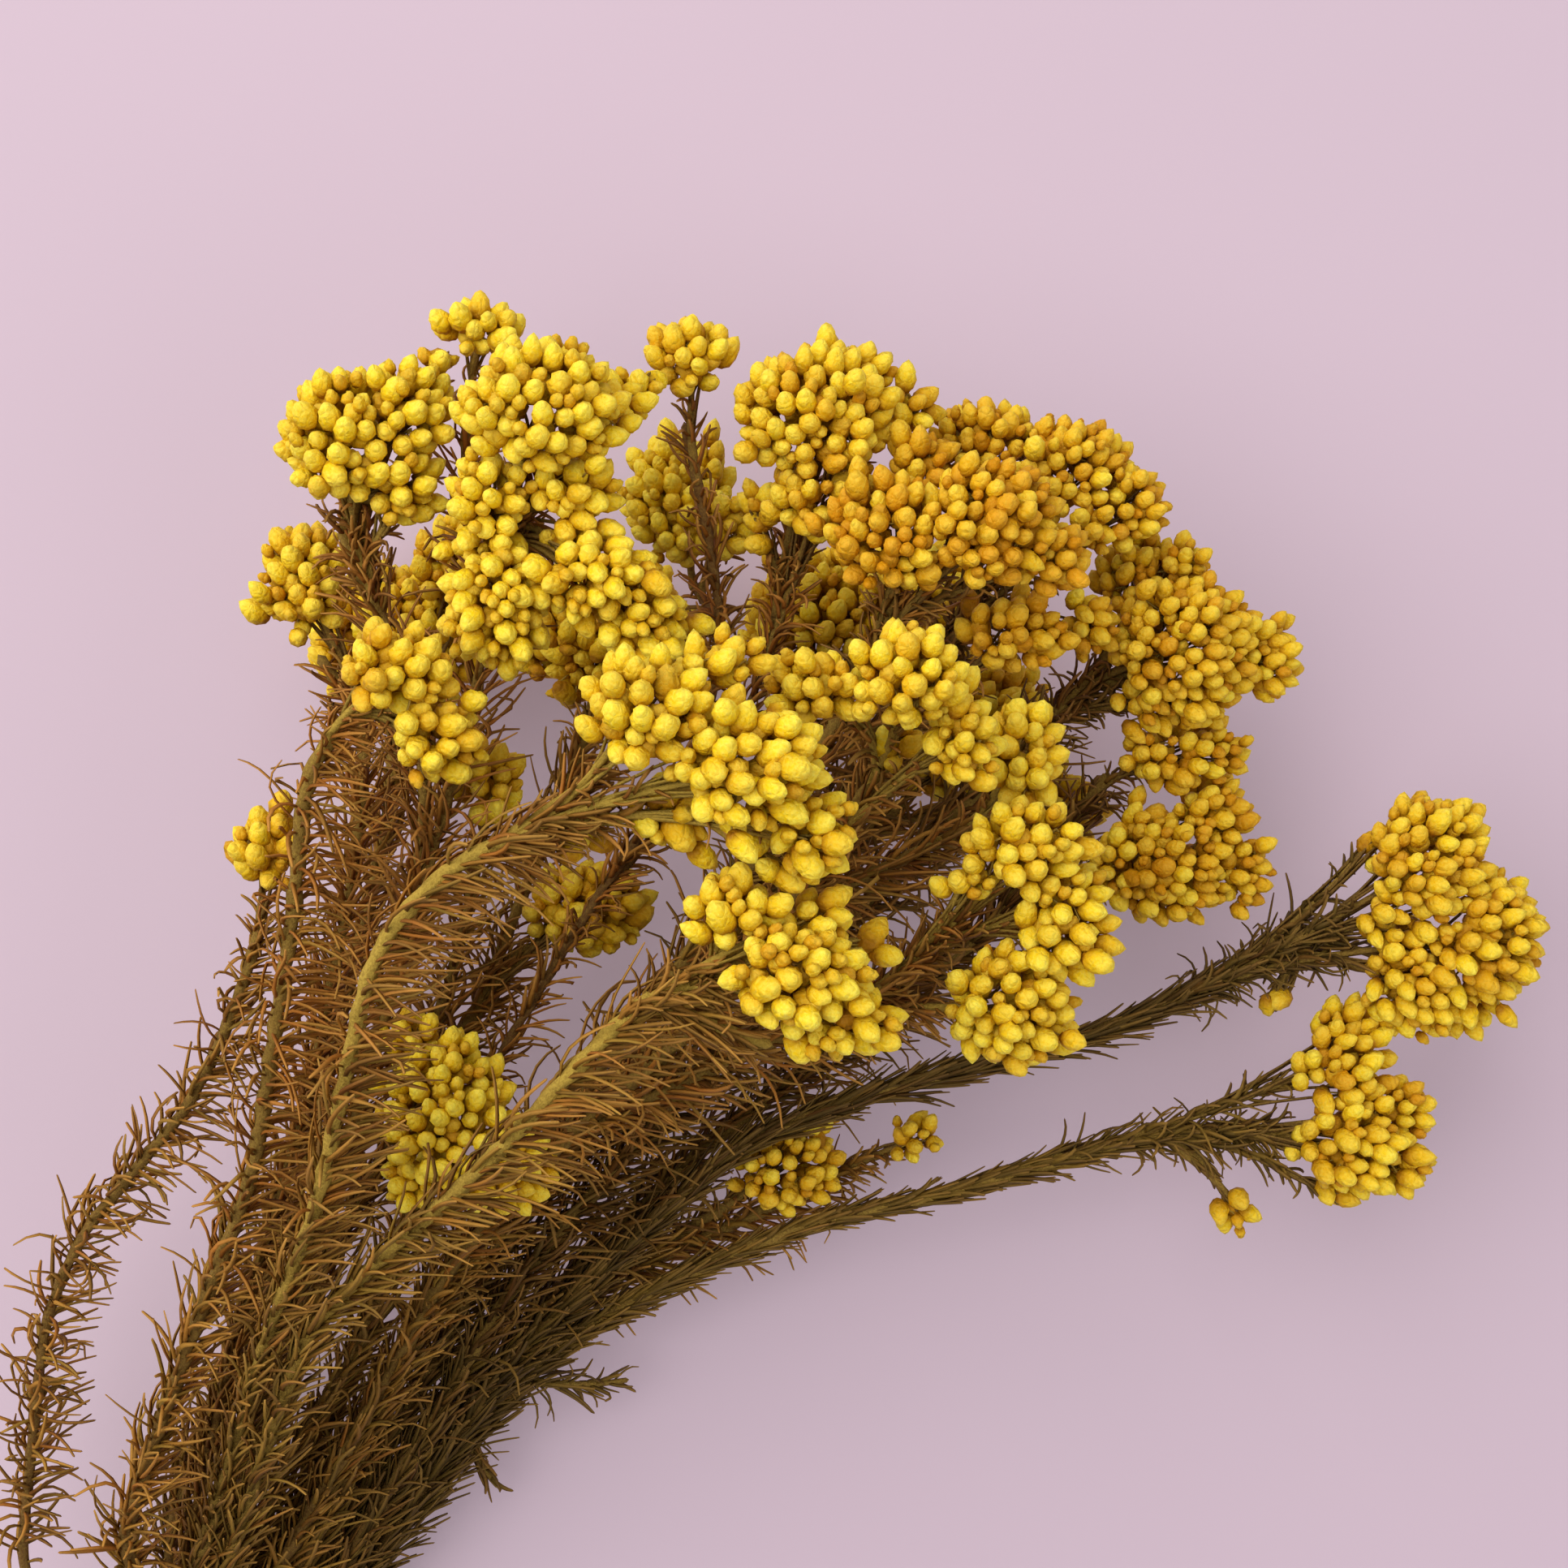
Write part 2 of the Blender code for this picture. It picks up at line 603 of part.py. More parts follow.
def tie_body():
    """A band of three rounds of twine about the bundle, flat underneath, as one ring body."""
    low = TIE_THICKNESS
    high = ROW_HEIGHTS["top"] + STEM_RADIUS + CLEARANCE
    middle = (low + high) / 2
    tall = (high - low) / 2
    groove = TIE_THICKNESS * (1 - TIE_GROOVE)
    profile = []
    for turn in range(TIE_TURNS):
        for share, out in ((0.0, groove), (0.25, TIE_THICKNESS), (0.75, TIE_THICKNESS)):
            profile.append((TIE_WIDTH * ((turn + share) / TIE_TURNS - 0.5), out))
    profile += [(TIE_WIDTH / 2, groove), (TIE_WIDTH / 2, 0.0), (-TIE_WIDTH / 2, 0.0)]
    verts = []
    for k in range(TIE_STEPS):
        angle = 2 * math.pi * (k + 0.5) / TIE_STEPS
        cos, sin = math.cos(angle), math.sin(angle)
        across = TIE_HALF_WIDTH * math.copysign(abs(cos) ** TIE_SQUARENESS, cos)
        level = math.copysign(min(1.0, TIE_FLATNESS * abs(sin) ** TIE_SQUARENESS), sin)
        for along, out in profile:
            lift = math.copysign(out, sin) if abs(level) == 1 else sin * out
            verts.append(on_plan(TIE_ALONG + along, across + cos * out, middle + tall * level + lift))
    size = len(profile)
    faces = []
    for k in range(TIE_STEPS):
        following = (k + 1) % TIE_STEPS
        for i in range(size):
            j = (i + 1) % size
            faces.append((k * size + i, k * size + j, following * size + j, following * size + i))
    return verts, faces


def main():
    for item in list(bpy.data.objects):
        bpy.data.objects.remove(item)
    yellow = material("papery_yellow", (0.80, 0.58, 0.06), 0.75)
    brown = material("woolly_brown", (0.24, 0.17, 0.06), 0.85)
    jute = material("jute", (0.52, 0.38, 0.22), 0.9)
    room = Room()
    stems = {}
    for stem in STEMS:
        stems[stem] = []
        for run in runs_of(stem):
            body = shoot(*run)
            room.hold("stem_" + stem, *body)
            stems[stem].append(body)
    heads = {}
    for head in HEADS:
        heads[head] = lobes_of(head)
        for lobe in heads[head][1]:
            room.hold("head_" + head, *lobe.core(), solid=True)
        for body in links_of(head):
            room.hold("head_" + head, *body)
    for head, (hub, lobes) in heads.items():
        stems[head[0]] += ribs_of(head, hub, lobes, room)
    for head, (_, lobes) in heads.items():
        settle_buds(head, lobes, room)
    for stem in STEMS:
        stems[stem] += needles_of(stem, room)
    for stem, bodies in stems.items():
        fused("stem_" + stem, bodies, brown)
    for head, (_, lobes) in heads.items():
        fused("head_" + head, [lobe.body() for lobe in lobes] + links_of(head), yellow)
    tie = object_from("twine_tie", tie_body(), bpy.context.scene.collection)
    tie.data.materials.append(jute)


main()
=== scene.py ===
# %% [markdown]
# # A tied bunch of dried rice flower, lying on its side
#
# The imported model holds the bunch's plain solids: nineteen stems, thirty-four flower heads and
# a tie. This lesson dresses them. Each stem gets its woolly bark, its hundreds of needle leaves
# and the fine ribs of its heads, and each head gets its papery buds at life size.

# %% Load the frame
import math
import random

import bpy
import numpy as np
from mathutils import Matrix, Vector


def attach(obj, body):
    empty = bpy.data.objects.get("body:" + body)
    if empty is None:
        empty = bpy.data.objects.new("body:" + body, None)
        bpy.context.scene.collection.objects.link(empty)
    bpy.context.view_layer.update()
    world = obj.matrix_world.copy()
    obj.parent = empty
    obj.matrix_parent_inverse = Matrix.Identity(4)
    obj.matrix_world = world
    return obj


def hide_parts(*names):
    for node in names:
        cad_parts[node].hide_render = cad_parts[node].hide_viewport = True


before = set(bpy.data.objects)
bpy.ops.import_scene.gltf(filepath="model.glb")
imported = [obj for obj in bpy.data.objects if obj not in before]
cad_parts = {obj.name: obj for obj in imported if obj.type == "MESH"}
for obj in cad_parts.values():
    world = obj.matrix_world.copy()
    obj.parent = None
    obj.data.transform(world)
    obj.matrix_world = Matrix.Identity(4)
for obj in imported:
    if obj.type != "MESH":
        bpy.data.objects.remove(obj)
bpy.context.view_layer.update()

# %% [markdown]
# ## The plan of the bunch
#
# The bunch is laid out on a plan in millimetres: x to the right and y up as one looks down on
# it, z above the table. Each stem is a path of points with its forks, and each head is a few
# domes. Listed points are easiest to read in whole millimetres, so they are turned
# into the frame's metres only when a mesh is made.

# %% The plan
MM = 0.001
SEED = 7
# The turn of the bunch's length on the plan, and what is taken off after it to centre the bunch.
LENGTH_TURN = math.radians(57)
PLAN_CENTRE = np.array([11.5, -87.0, 0.0])
UP = np.array([0.0, 0.0, 1.0])

# Where the tie and the cut ends lie along the bunch, how far the ends stray, and how much wider
# the bunch is there than in the tie.
TIE_ALONG = -165.0
END_ALONG = -232.0
END_JITTER = 8.0
END_SPREAD = 1.5
# The stretch that the tie holds straight, in rows of stems side by side.
HELD_HALF_LENGTH = 9.0
SLOT_PITCH = 3.6
ROW_HEIGHTS = {"top": 9.5, "middle": 6.3, "bottom": 3.1}
ROW_OFFSETS = {"top": -9.0, "middle": -10.8, "bottom": -9.0}
print("plan of", len(ROW_HEIGHTS), "rows of stems in a tie", -TIE_ALONG, "mm from its middle")

# %% Stems on the plan
# Each stem: its row and place in the tie, then its own run and its forks, as points (x, y, z).
STEMS = {
    "a": ("top", 1, [
        [(-67, -71, 52), (-59, -54, 64), (-54, -36, 72), (-50, -21, 77), (-43, -12, 80), (-35, -7, 80),
         (-27, -5, 78), (-22, -2, 77)]]),
    "b": ("top", 2, [
        [(-62, -71, 54), (-50, -59, 62), (-41, -51, 69), (-32, -42, 73), (-24, -33, 76), (-17, -26, 77),
         (-8, -23, 74)],
        [(-17, -26, 77), (-10, -29, 74), (-2, -32, 72)]]),
    "c": ("top", 3, [
        [(-45, -65, 38), (-29, -47, 46), (-11, -31, 54), (1, -16, 60), (11, 0, 63)],
        [(-29, -47, 46), (-7, -36, 51), (9, -29, 54), (21, -19, 56)],
        [(9, -29, 54), (21, -29, 54)],
        [(1, -16, 60), (15, -10, 54), (26, -5, 51)]]),
    "d": ("middle", 2, [
        [(-67, -70, 38), (-56, -42, 44), (-50, -20, 46), (-47, -4, 48), (-48, 9, 49), (-53, 22, 49),
         (-58, 33, 49)],
        [(-50, -20, 46), (-43, 1, 50), (-40, 12, 54), (-38, 22, 55), (-36, 33, 57)],
        [(-38, 22, 55), (-42, 39, 52), (-41, 52, 51)]]),
    "e": ("middle", 4, [
        [(-55, -67, 30), (-40, -39, 36), (-25, -15, 41), (-11, 5, 45), (-8, 20, 48), (-10, 33, 50),
         (-13, 47, 49)],
        [(-25, -15, 41), (-9, 2, 40), (-2, 16, 43), (0, 30, 46)],
        [(-8, 20, 48), (-11, 25, 36), (-13, 28, 28)]]),
    "f": ("top", 4, [
        [(-45, -66, 32), (-27, -41, 37), (-9, -18, 42), (4, 3, 46), (13, 20, 49)],
        [(4, 3, 46), (14, 8, 44), (23, 13, 43)]]),
    "g": ("middle", 5, [
        [(-42, -68, 24), (-23, -42, 27), (-4, -17, 30), (13, 5, 33), (26, 25, 35)]]),
    "h": ("top", 5, [
        [(-37, -69, 25), (-17, -46, 27), (4, -24, 28), (22, -6, 30), (41, 13, 32)]]),
    "i": ("bottom", 4, [
        [(-35, -75, 18), (-13, -53, 20), (10, -35, 22), (28, -21, 24), (41, -14, 25)],
        [(28, -21, 24), (38, -8, 25), (45, 1, 27)]]),
    "j": ("middle", 6, [
        [(-39, -82, 19), (-22, -65, 23), (-7, -51, 27), (9, -44, 29), (26, -39, 30), (42, -35, 31),
         (58, -28, 31), (72, -20, 30)]]),
    "k": ("bottom", 5, [
        [(-44, -92, 12), (-31, -79, 17), (-15, -70, 20), (4, -62, 22), (22, -58, 23), (38, -53, 24),
         (53, -49, 25), (61, -49, 25)],
        [(53, -49, 25), (59, -53, 24), (61, -56, 24)]]),
    "l": ("middle", 1, [
        [(-76, -76, 28), (-66, -46, 33), (-60, -20, 36), (-57, -2, 37), (-57, 9, 37), (-63, 17, 36)]]),
    "m": ("top", 0, [
        [(-91, -103, 32), (-78, -72, 46), (-69, -51, 53), (-65, -30, 58), (-62, -14, 61), (-61, -3, 63),
         (-59, 4, 65), (-54, 9, 66)]]),
    "n": ("middle", 0, [
        [(-104, -122, 15), (-107, -110, 25), (-103, -88, 33), (-100, -72, 38), (-94, -60, 42),
         (-86, -51, 45), (-78, -42, 48), (-74, -34, 50), (-70, -25, 51), (-68, -16, 51)]]),
    "o": ("middle", 3, [
        [(-70, -95, 24), (-60, -80, 31), (-53, -66, 37), (-48, -53, 41)]]),
    "p": ("bottom", 3, [
        [(-52, -96, 8), (-38, -82, 12), (-24, -71, 14), (-9, -61, 16)],
        [(-24, -71, 14), (-2, -61, 15), (13, -53, 16)]]),
    "q": ("bottom", 1, [
        [(-65, -68, 24), (-53, -47, 26), (-43, -32, 27), (-36, -23, 25)],
        [(-53, -47, 26), (-45, -24, 32), (-41, -8, 37)],
        [(-43, -32, 27), (-33, -6, 22), (-26, 12, 20)]]),
    "r": ("bottom", 2, [
        [(-38, -55, 14), (-12, -30, 15), (7, -11, 15), (17, -3, 15)],
        [(-12, -30, 15), (-1, -6, 15), (4, 10, 15)]]),
    "s": ("bottom", 0, [
        [(-88, -102, 11), (-71, -64, 16), (-62, -27, 16), (-57, -7, 16), (-56, 4, 16)]]),
}

# %% Heads on the plan
# Each head: the run of its stem that carries it, then its domes (x, y, z, half width, half height).
HEADS = {
    "a1": (0, [(-16, 9, 88, 8.5, 7.5), (-4, 2, 87, 9.5, 8.5), (4, -6, 84, 6, 6), (-7, 15, 84, 6, 4)]),
    "b1": (0, [(-6, -14.5, 80, 7, 5.5), (4, -16, 78, 6, 5), (2, -23, 82, 9, 7.5), (8, -29, 79, 7.5, 5)]),
    "c1": (0, [(4, 12, 77, 7, 5.5), (15, 13, 79, 7.5, 7), (22, 6, 75, 5.5, 6.5)]),
    "c2": (1, [(30, -7, 70, 8, 6), (35.5, -16.5, 67, 6.5, 8.2), (23, -12, 67, 4.5, 3.5)]),
    "c3": (2, [(29, -28, 64, 8.5, 8.5)]),
    "c4": (3, [(30.5, 4, 61, 5.8, 7.8)]),
    "d1": (0, [(-56, 44.5, 60, 8.8, 9), (-48, 48, 61, 6.5, 7), (-48, 39, 59, 5.5, 6)]),
    "d2": (1, [(-30, 47, 70, 10.5, 8.5), (-20, 49, 63, 4, 4.5), (-37, 36, 66, 6, 6.5),
               (-26, 37, 65, 6.5, 5.5)]),
    "d3": (2, [(-39, 59, 57, 6.5, 5)]),
    "d4": (1, [(-36, 22, 66, 7.5, 8.5), (-23, 25, 68, 8.5, 6), (-17, 20, 65, 6, 6)]),
    "e1": (0, [(-12, 56, 55, 6.5, 5.5)]),
    "e2": (1, [(4, 48, 57, 10.5, 9), (10, 54, 55, 5.5, 4.2), (17, 49, 54, 4.2, 4.6), (5, 38, 55, 7.5, 6.5)]),
    "e3": (2, [(-14, 39, 32, 8.5, 9.5)]),
    "f1": (0, [(14, 32, 62, 9, 7.5), (26, 33, 63, 9.5, 8.5), (34, 29, 60, 6, 5.5)]),
    "f2": (1, [(30, 20, 52, 8, 5.5)]),
    "g1": (0, [(27, 45, 45, 8.5, 6.5), (37.5, 41.5, 47, 8.8, 7.8), (46, 37, 48, 5.5, 6)]),
    "h1": (0, [(49, 28, 37, 7.5, 6.5), (54, 19, 41, 10, 10), (53, 11, 38, 8, 5.5), (66, 17, 38, 5, 6)]),
    "i1": (0, [(52, -11, 33, 10.2, 8.4), (59, -4, 33, 6, 6), (63.5, -12, 32, 4.5, 6)]),
    "i2": (1, [(55, 4, 35, 9, 5.5)]),
    "j1": (0, [(88, -11, 35, 8.8, 10.4), (95.5, -21, 34, 9, 10), (88, -27.5, 33, 8.5, 8)]),
    "k1": (0, [(78, -38, 30, 6.5, 8.5), (79.5, -49.5, 29, 8.4, 8.5)]),
    "k2": (1, [(64, -60, 25, 4, 4)]),
    "l1": (0, [(-64.5, 27.5, 40, 6.8, 8)]),
    "m1": (0, [(-47, 14, 75, 7.5, 6), (-42, 5, 73, 6, 6)]),
    "n1": (0, [(-67, -8, 55, 6, 5.5)]),
    "o1": (0, [(-43.5, -43, 50, 9.2, 10.4), (-37, -51, 49, 7, 6.5), (-49, -33, 48, 4.5, 4.5)]),
    "p1": (0, [(0, -54, 22, 8.5, 7)]),
    "p2": (1, [(19, -50, 21, 5, 4)]),
    "q1": (0, [(-27, -17, 28, 9.5, 7)]),
    "q2": (1, [(-39, 0, 44, 5, 6.5)]),
    "q3": (2, [(-26, 22, 11, 13, 11)]),
    "r1": (0, [(27, 8, 10, 13, 11.5), (38, -5, 15, 8, 8)]),
    "r2": (1, [(7, 23, 10, 13, 11.5), (21, 28, 17, 9, 8)]),
    "s1": (0, [(-56, 21, 10, 13, 11.5), (-44, 32, 17, 9, 8)]),
}
print(len(STEMS), "stems and", len(HEADS), "heads on the plan")

# %% From the plan to the frame
NEARLY_ZERO = 1e-9
COS, SIN = math.cos(LENGTH_TURN), math.sin(LENGTH_TURN)
TO_FRAME = np.array([[SIN, -COS, 0.0], [COS, SIN, 0.0], [0.0, 0.0, 1.0]])


def to_frame(points):
    """Plan millimetres to frame metres: turned so that the bunch points along +Y, then centred."""
    return (points @ TO_FRAME.T - PLAN_CENTRE) * MM


def on_plan(along, across, z):
    """Plan points that lie so far along and across the bunch."""
    return np.stack(np.broadcast_arrays(along * COS + across * SIN, along * SIN - across * COS, z), -1)


def unit(vectors):
    """Vectors divided by their own length."""
    return vectors / np.maximum(np.linalg.norm(vectors, axis=-1, keepdims=True), NEARLY_ZERO)


print("the bunch lies at", round(math.degrees(LENGTH_TURN)), "degrees on the plan")

# %% [markdown]
# ## Camera and light
#
# The camera looks straight down at the lying bunch from 410 mm above the floor, as the
# photograph looks at it. Its lens takes in 205 mm of the bunch's middle, and the bunch's own
# length leans to the lower left of the picture. A large soft lamp stands at the upper left, a
# weaker one at the right, and a pale sky fills the shade.

# %% Camera and light
CAMERA_HEIGHT = 410.0
# The picture takes in this width, in mm, at this height above the floor.
PICTURE_WIDTH = 205.5
PICTURE_LEVEL = 50.0
SENSOR_WIDTH = 36.0
SKY_COLOUR = (1.0, 0.97, 1.0)
SKY_STRENGTH = 0.32


def placed(name, data):
    """A new object that shows this data in the scene."""
    made = bpy.data.objects.new(name, data)
    bpy.context.scene.collection.objects.link(made)
    return made


def lamp(name, towards, distance, size, power, colour):
    """A square area lamp, in the direction given on the plan, that faces the bunch."""
    data = bpy.data.lights.new(name, "AREA")
    data.size = size
    data.energy = power
    data.color = colour
    way = Vector(TO_FRAME @ unit(np.array(towards)))
    made = placed(name, data)
    made.location = way * distance
    made.rotation_euler = way.to_track_quat("Z", "Y").to_euler()


camera_data = bpy.data.cameras.new("camera")
camera_data.sensor_width = SENSOR_WIDTH
camera_data.lens = SENSOR_WIDTH * (CAMERA_HEIGHT - PICTURE_LEVEL) / PICTURE_WIDTH
camera = placed("camera", camera_data)
camera.location = to_frame(np.array([0.0, 0.0, CAMERA_HEIGHT]))
camera.rotation_euler = (0.0, 0.0, math.pi / 2 - LENGTH_TURN)
bpy.context.scene.camera = camera
lamp("key_lamp", towards=(-0.65, 0.5, 1.0), distance=1.1, size=1.5, power=19.2, colour=(1.0, 0.97, 0.93))
lamp("fill_lamp", towards=(1.0, -0.3, 0.9), distance=1.3, size=1.0, power=4.5, colour=(0.97, 0.95, 1.0))

world = bpy.data.worlds.new("studio")
world.use_nodes = True
sky = world.node_tree.nodes["Background"].inputs
sky["Color"].default_value = (*SKY_COLOUR, 1.0)
sky["Strength"].default_value = SKY_STRENGTH
bpy.context.scene.world = world
bpy.context.scene.view_settings.view_transform = "Standard"
print("lens of", round(camera_data.lens, 1), "mm")

# %% [markdown]
# ## Shader maths as expressions
#
# A material in Blender is a graph of nodes. Long graphs are hard to read as links, so a `Flow`
# wraps the output of a node, and adding or multiplying flows adds the Math nodes. `Finish.node`
# makes any other node. Colours go through Mix nodes, because a Math node turns them grey.

# %% Flows
class Flow:
    """What flows out of one node's output: a number, a colour or a vector."""

    def __init__(self, finish, socket):
        self.finish = finish
        self.socket = socket

    def math(self, operation, first, second=0.0, clamp=False):
        """A Math node of this operation on two numbers or flows."""
        return self.finish.node("Math", {"operation": operation, "use_clamp": clamp}, {0: first, 1: second})

    def __add__(self, other):
        return self.math("ADD", self, other)

    def __sub__(self, other):
        return self.math("SUBTRACT", self, other)

    def __rsub__(self, other):
        return self.math("SUBTRACT", other, self)

    def __mul__(self, other):
        return self.math("MULTIPLY", self, other)

    __radd__ = __add__
    __rmul__ = __mul__

    def held(self):
        """The number kept between 0 and 1."""
        return self.math("ADD", self, 0.0, clamp=True)


# %% Finishes
# A Mix node's sockets for colours go by number, because those for numbers have the same names.
FIRST_COLOUR = 6
SECOND_COLOUR = 7
MIXED_COLOUR = 2


class Finish:
    """A material whose nodes are written as expressions."""

    def __init__(self, name, roughness, specular=0.5):
        self.material = bpy.data.materials.new(name)
        self.material.use_nodes = True
        self.nodes = self.material.node_tree.nodes
        self.shader = self.nodes["Principled BSDF"]
        self.shader.inputs["Roughness"].default_value = roughness
        self.shader.inputs["Specular IOR Level"].default_value = specular
        self.place = self.node("TexCoord", output="Object")

    def feed(self, socket, value):
        """Links a flow to the socket, or sets its value."""
        if isinstance(value, Flow):
            self.material.node_tree.links.new(value.socket, socket)
        else:
            socket.default_value = value

    def node(self, kind, settings=None, inputs=None, output=0):
        """Adds a node, then its settings, then the values or flows of its inputs."""
        made = self.nodes.new("ShaderNode" + kind)
        for name, value in (settings or {}).items():
            setattr(made, name, value)
        for name, value in (inputs or {}).items():
            self.feed(made.inputs[name], value)
        return Flow(self, made.outputs[output])

    def said(self, name):
        """A number kept on the mesh's points under this name."""
        return self.node("Attribute", {"attribute_name": name}, output="Fac")

    def noise(self, size_mm, detail=3.0, roughness=0.55):
        """Soft noise with blotches of about this size."""
        values = {"Vector": self.place, "Scale": 1 / (size_mm * MM), "Detail": detail, "Roughness": roughness}
        return self.node("TexNoise", inputs=values)

    def mix(self, share, first, second):
        """From the first colour to the second as share goes from 0 to 1."""
        first, second = (c if isinstance(c, Flow) else (*c, 1.0) for c in (first, second))
        values = {0: share, FIRST_COLOUR: first, SECOND_COLOUR: second}
        return self.node("Mix", {"data_type": "RGBA"}, values, MIXED_COLOUR)

    def paint(self, colour, roughness=None):
        """Feeds the shader's colour, and its roughness where that varies too."""
        self.feed(self.shader.inputs["Base Color"], colour)
        if roughness is not None:
            self.feed(self.shader.inputs["Roughness"], roughness)

    def relief(self, height, depth_mm):
        """Bump of this depth from a height between 0 and 1."""
        values = {"Height": height, "Distance": depth_mm * MM, "Strength": 1.0}
        self.feed(self.shader.inputs["Normal"], self.node("Bump", inputs=values))


# %% [markdown]
# ## The floor
#
# The backdrop is one plain square, a hair below the bunch. It could be white and get its
# colour from the lamps, but the shadows would then be grey. So it has the backdrop's colour and
# glows a little, as a backdrop does that is lit from behind, which keeps the shadows light.

# %% The floor
# In metres.
FLOOR_SIZE = 3.0
FLOOR_LEVEL = -0.0002
FLOOR_COLOUR = (0.42, 0.331, 0.397)
FLOOR_GLOW = (0.70, 0.54, 0.62)
GLOW_STRENGTH = 0.26

floor_mesh = bpy.data.meshes.new("floor")
reach = FLOOR_SIZE / 2
corners = [(x * reach, y * reach, FLOOR_LEVEL) for x, y in ((-1, -1), (1, -1), (1, 1), (-1, 1))]
floor_mesh.from_pydata(corners, [], [(0, 1, 2, 3)])
floor = placed("floor", floor_mesh)
backdrop = Finish("backdrop", roughness=0.9)
backdrop.paint((*FLOOR_COLOUR, 1.0))
backdrop.shader.inputs["Emission Color"].default_value = (*FLOOR_GLOW, 1.0)
backdrop.shader.inputs["Emission Strength"].default_value = GLOW_STRENGTH
floor_mesh.materials.append(backdrop.material)
print("nodes in the backdrop's material:", len(backdrop.nodes))

# %% [markdown]
# ## Many small bodies in one mesh
#
# A bunch has thousands of needles and buds. Each kind is one closed shape, a stack of rings with
# a pole at each end, that numpy computes for all copies at once: an array of points with one
# row for each copy. `Growth` gathers such bodies into one mesh, with the numbers that the
# materials read, and gives each body its own cell of the texture map.

# %% Faces of a ringed body
def ring_faces(rings, sides):
    """(triangles, quads, map corners of the triangles and of the quads) of a body.

    Its points are a pole, rings of points, and a pole: triangles close the ends and quads join
    the rings. A map corner is (share along the body, share around it).
    """
    i = np.arange(sides)
    j = (i + 1) % sides
    low, high = i / sides, (i + 1) / sides
    middle = (low + high) / 2
    along = (np.arange(rings) + 1) / (rings + 1)
    last = 1 + (rings - 1) * sides
    triangles = np.concatenate([
        np.stack([0 * i, 1 + j, 1 + i], 1),
        np.stack([last + i, last + j, last + sides + 0 * i], 1),
    ])
    start = 1 + sides * np.arange(rings - 1)[:, None]
    quads = np.stack([start + i, start + j, start + j + sides, start + i + sides], -1).reshape(-1, 4)

    def spots(*pairs):
        """Map corners of many faces at once: a pair of arrays for each corner."""
        return np.stack([np.stack(np.broadcast_arrays(a, b), -1) for a, b in pairs], -2)

    first_caps = spots((0 * low, middle), (along[0], high), (along[0], low))
    last_caps = spots((along[-1], low), (along[-1], high), (0 * low + 1, middle))
    here, there = along[:-1, None], along[1:, None]
    strips = spots((here, low), (here, high), (there, high), (there, low)).reshape(-1, 4, 2)
    return triangles, quads, np.concatenate([first_caps, last_caps]), strips


# %% Tubes along paths
def tubes(paths, radii, sides, flatness=1.0, side=None, relief=1.0):
    """Closed tubes: every path point is ringed by centre + radius (cos a * side + flatness sin a * other).

    paths is (count, rings, 3) and radii one number, one for each ring, or (count, rings). side is
    the direction of each tube's width. relief multiplies the radius, ring by ring and round each
    ring.
    """
    radii = np.broadcast_to(radii, paths.shape[:2])
    forward = unit(np.gradient(paths, axis=1))
    if side is None:
        side = np.cross(forward, UP)
    side = unit(side - forward * (side * forward).sum(-1, keepdims=True))
    other = np.cross(forward, side)
    turn = 2 * np.pi * np.arange(sides) / sides
    ring = side[:, :, None] * np.cos(turn)[:, None] + flatness * other[:, :, None] * np.sin(turn)[:, None]
    swell = (radii[:, :, None] * relief)[..., None]
    points = paths[:, :, None] + swell * ring
    count, rings = radii.shape
    tips = paths[:, -1:] + forward[:, -1:] * radii[:, -1:, None]
    ends = [paths[:, :1], points.reshape(count, rings * sides, 3), tips]
    return np.concatenate(ends, 1)


# %% The mesh that gathers them
# Each body's cell of the texture map is so many times as long as it is high, with this margin.
CELL_STRETCH = 4
MAP_MARGIN = 0.04


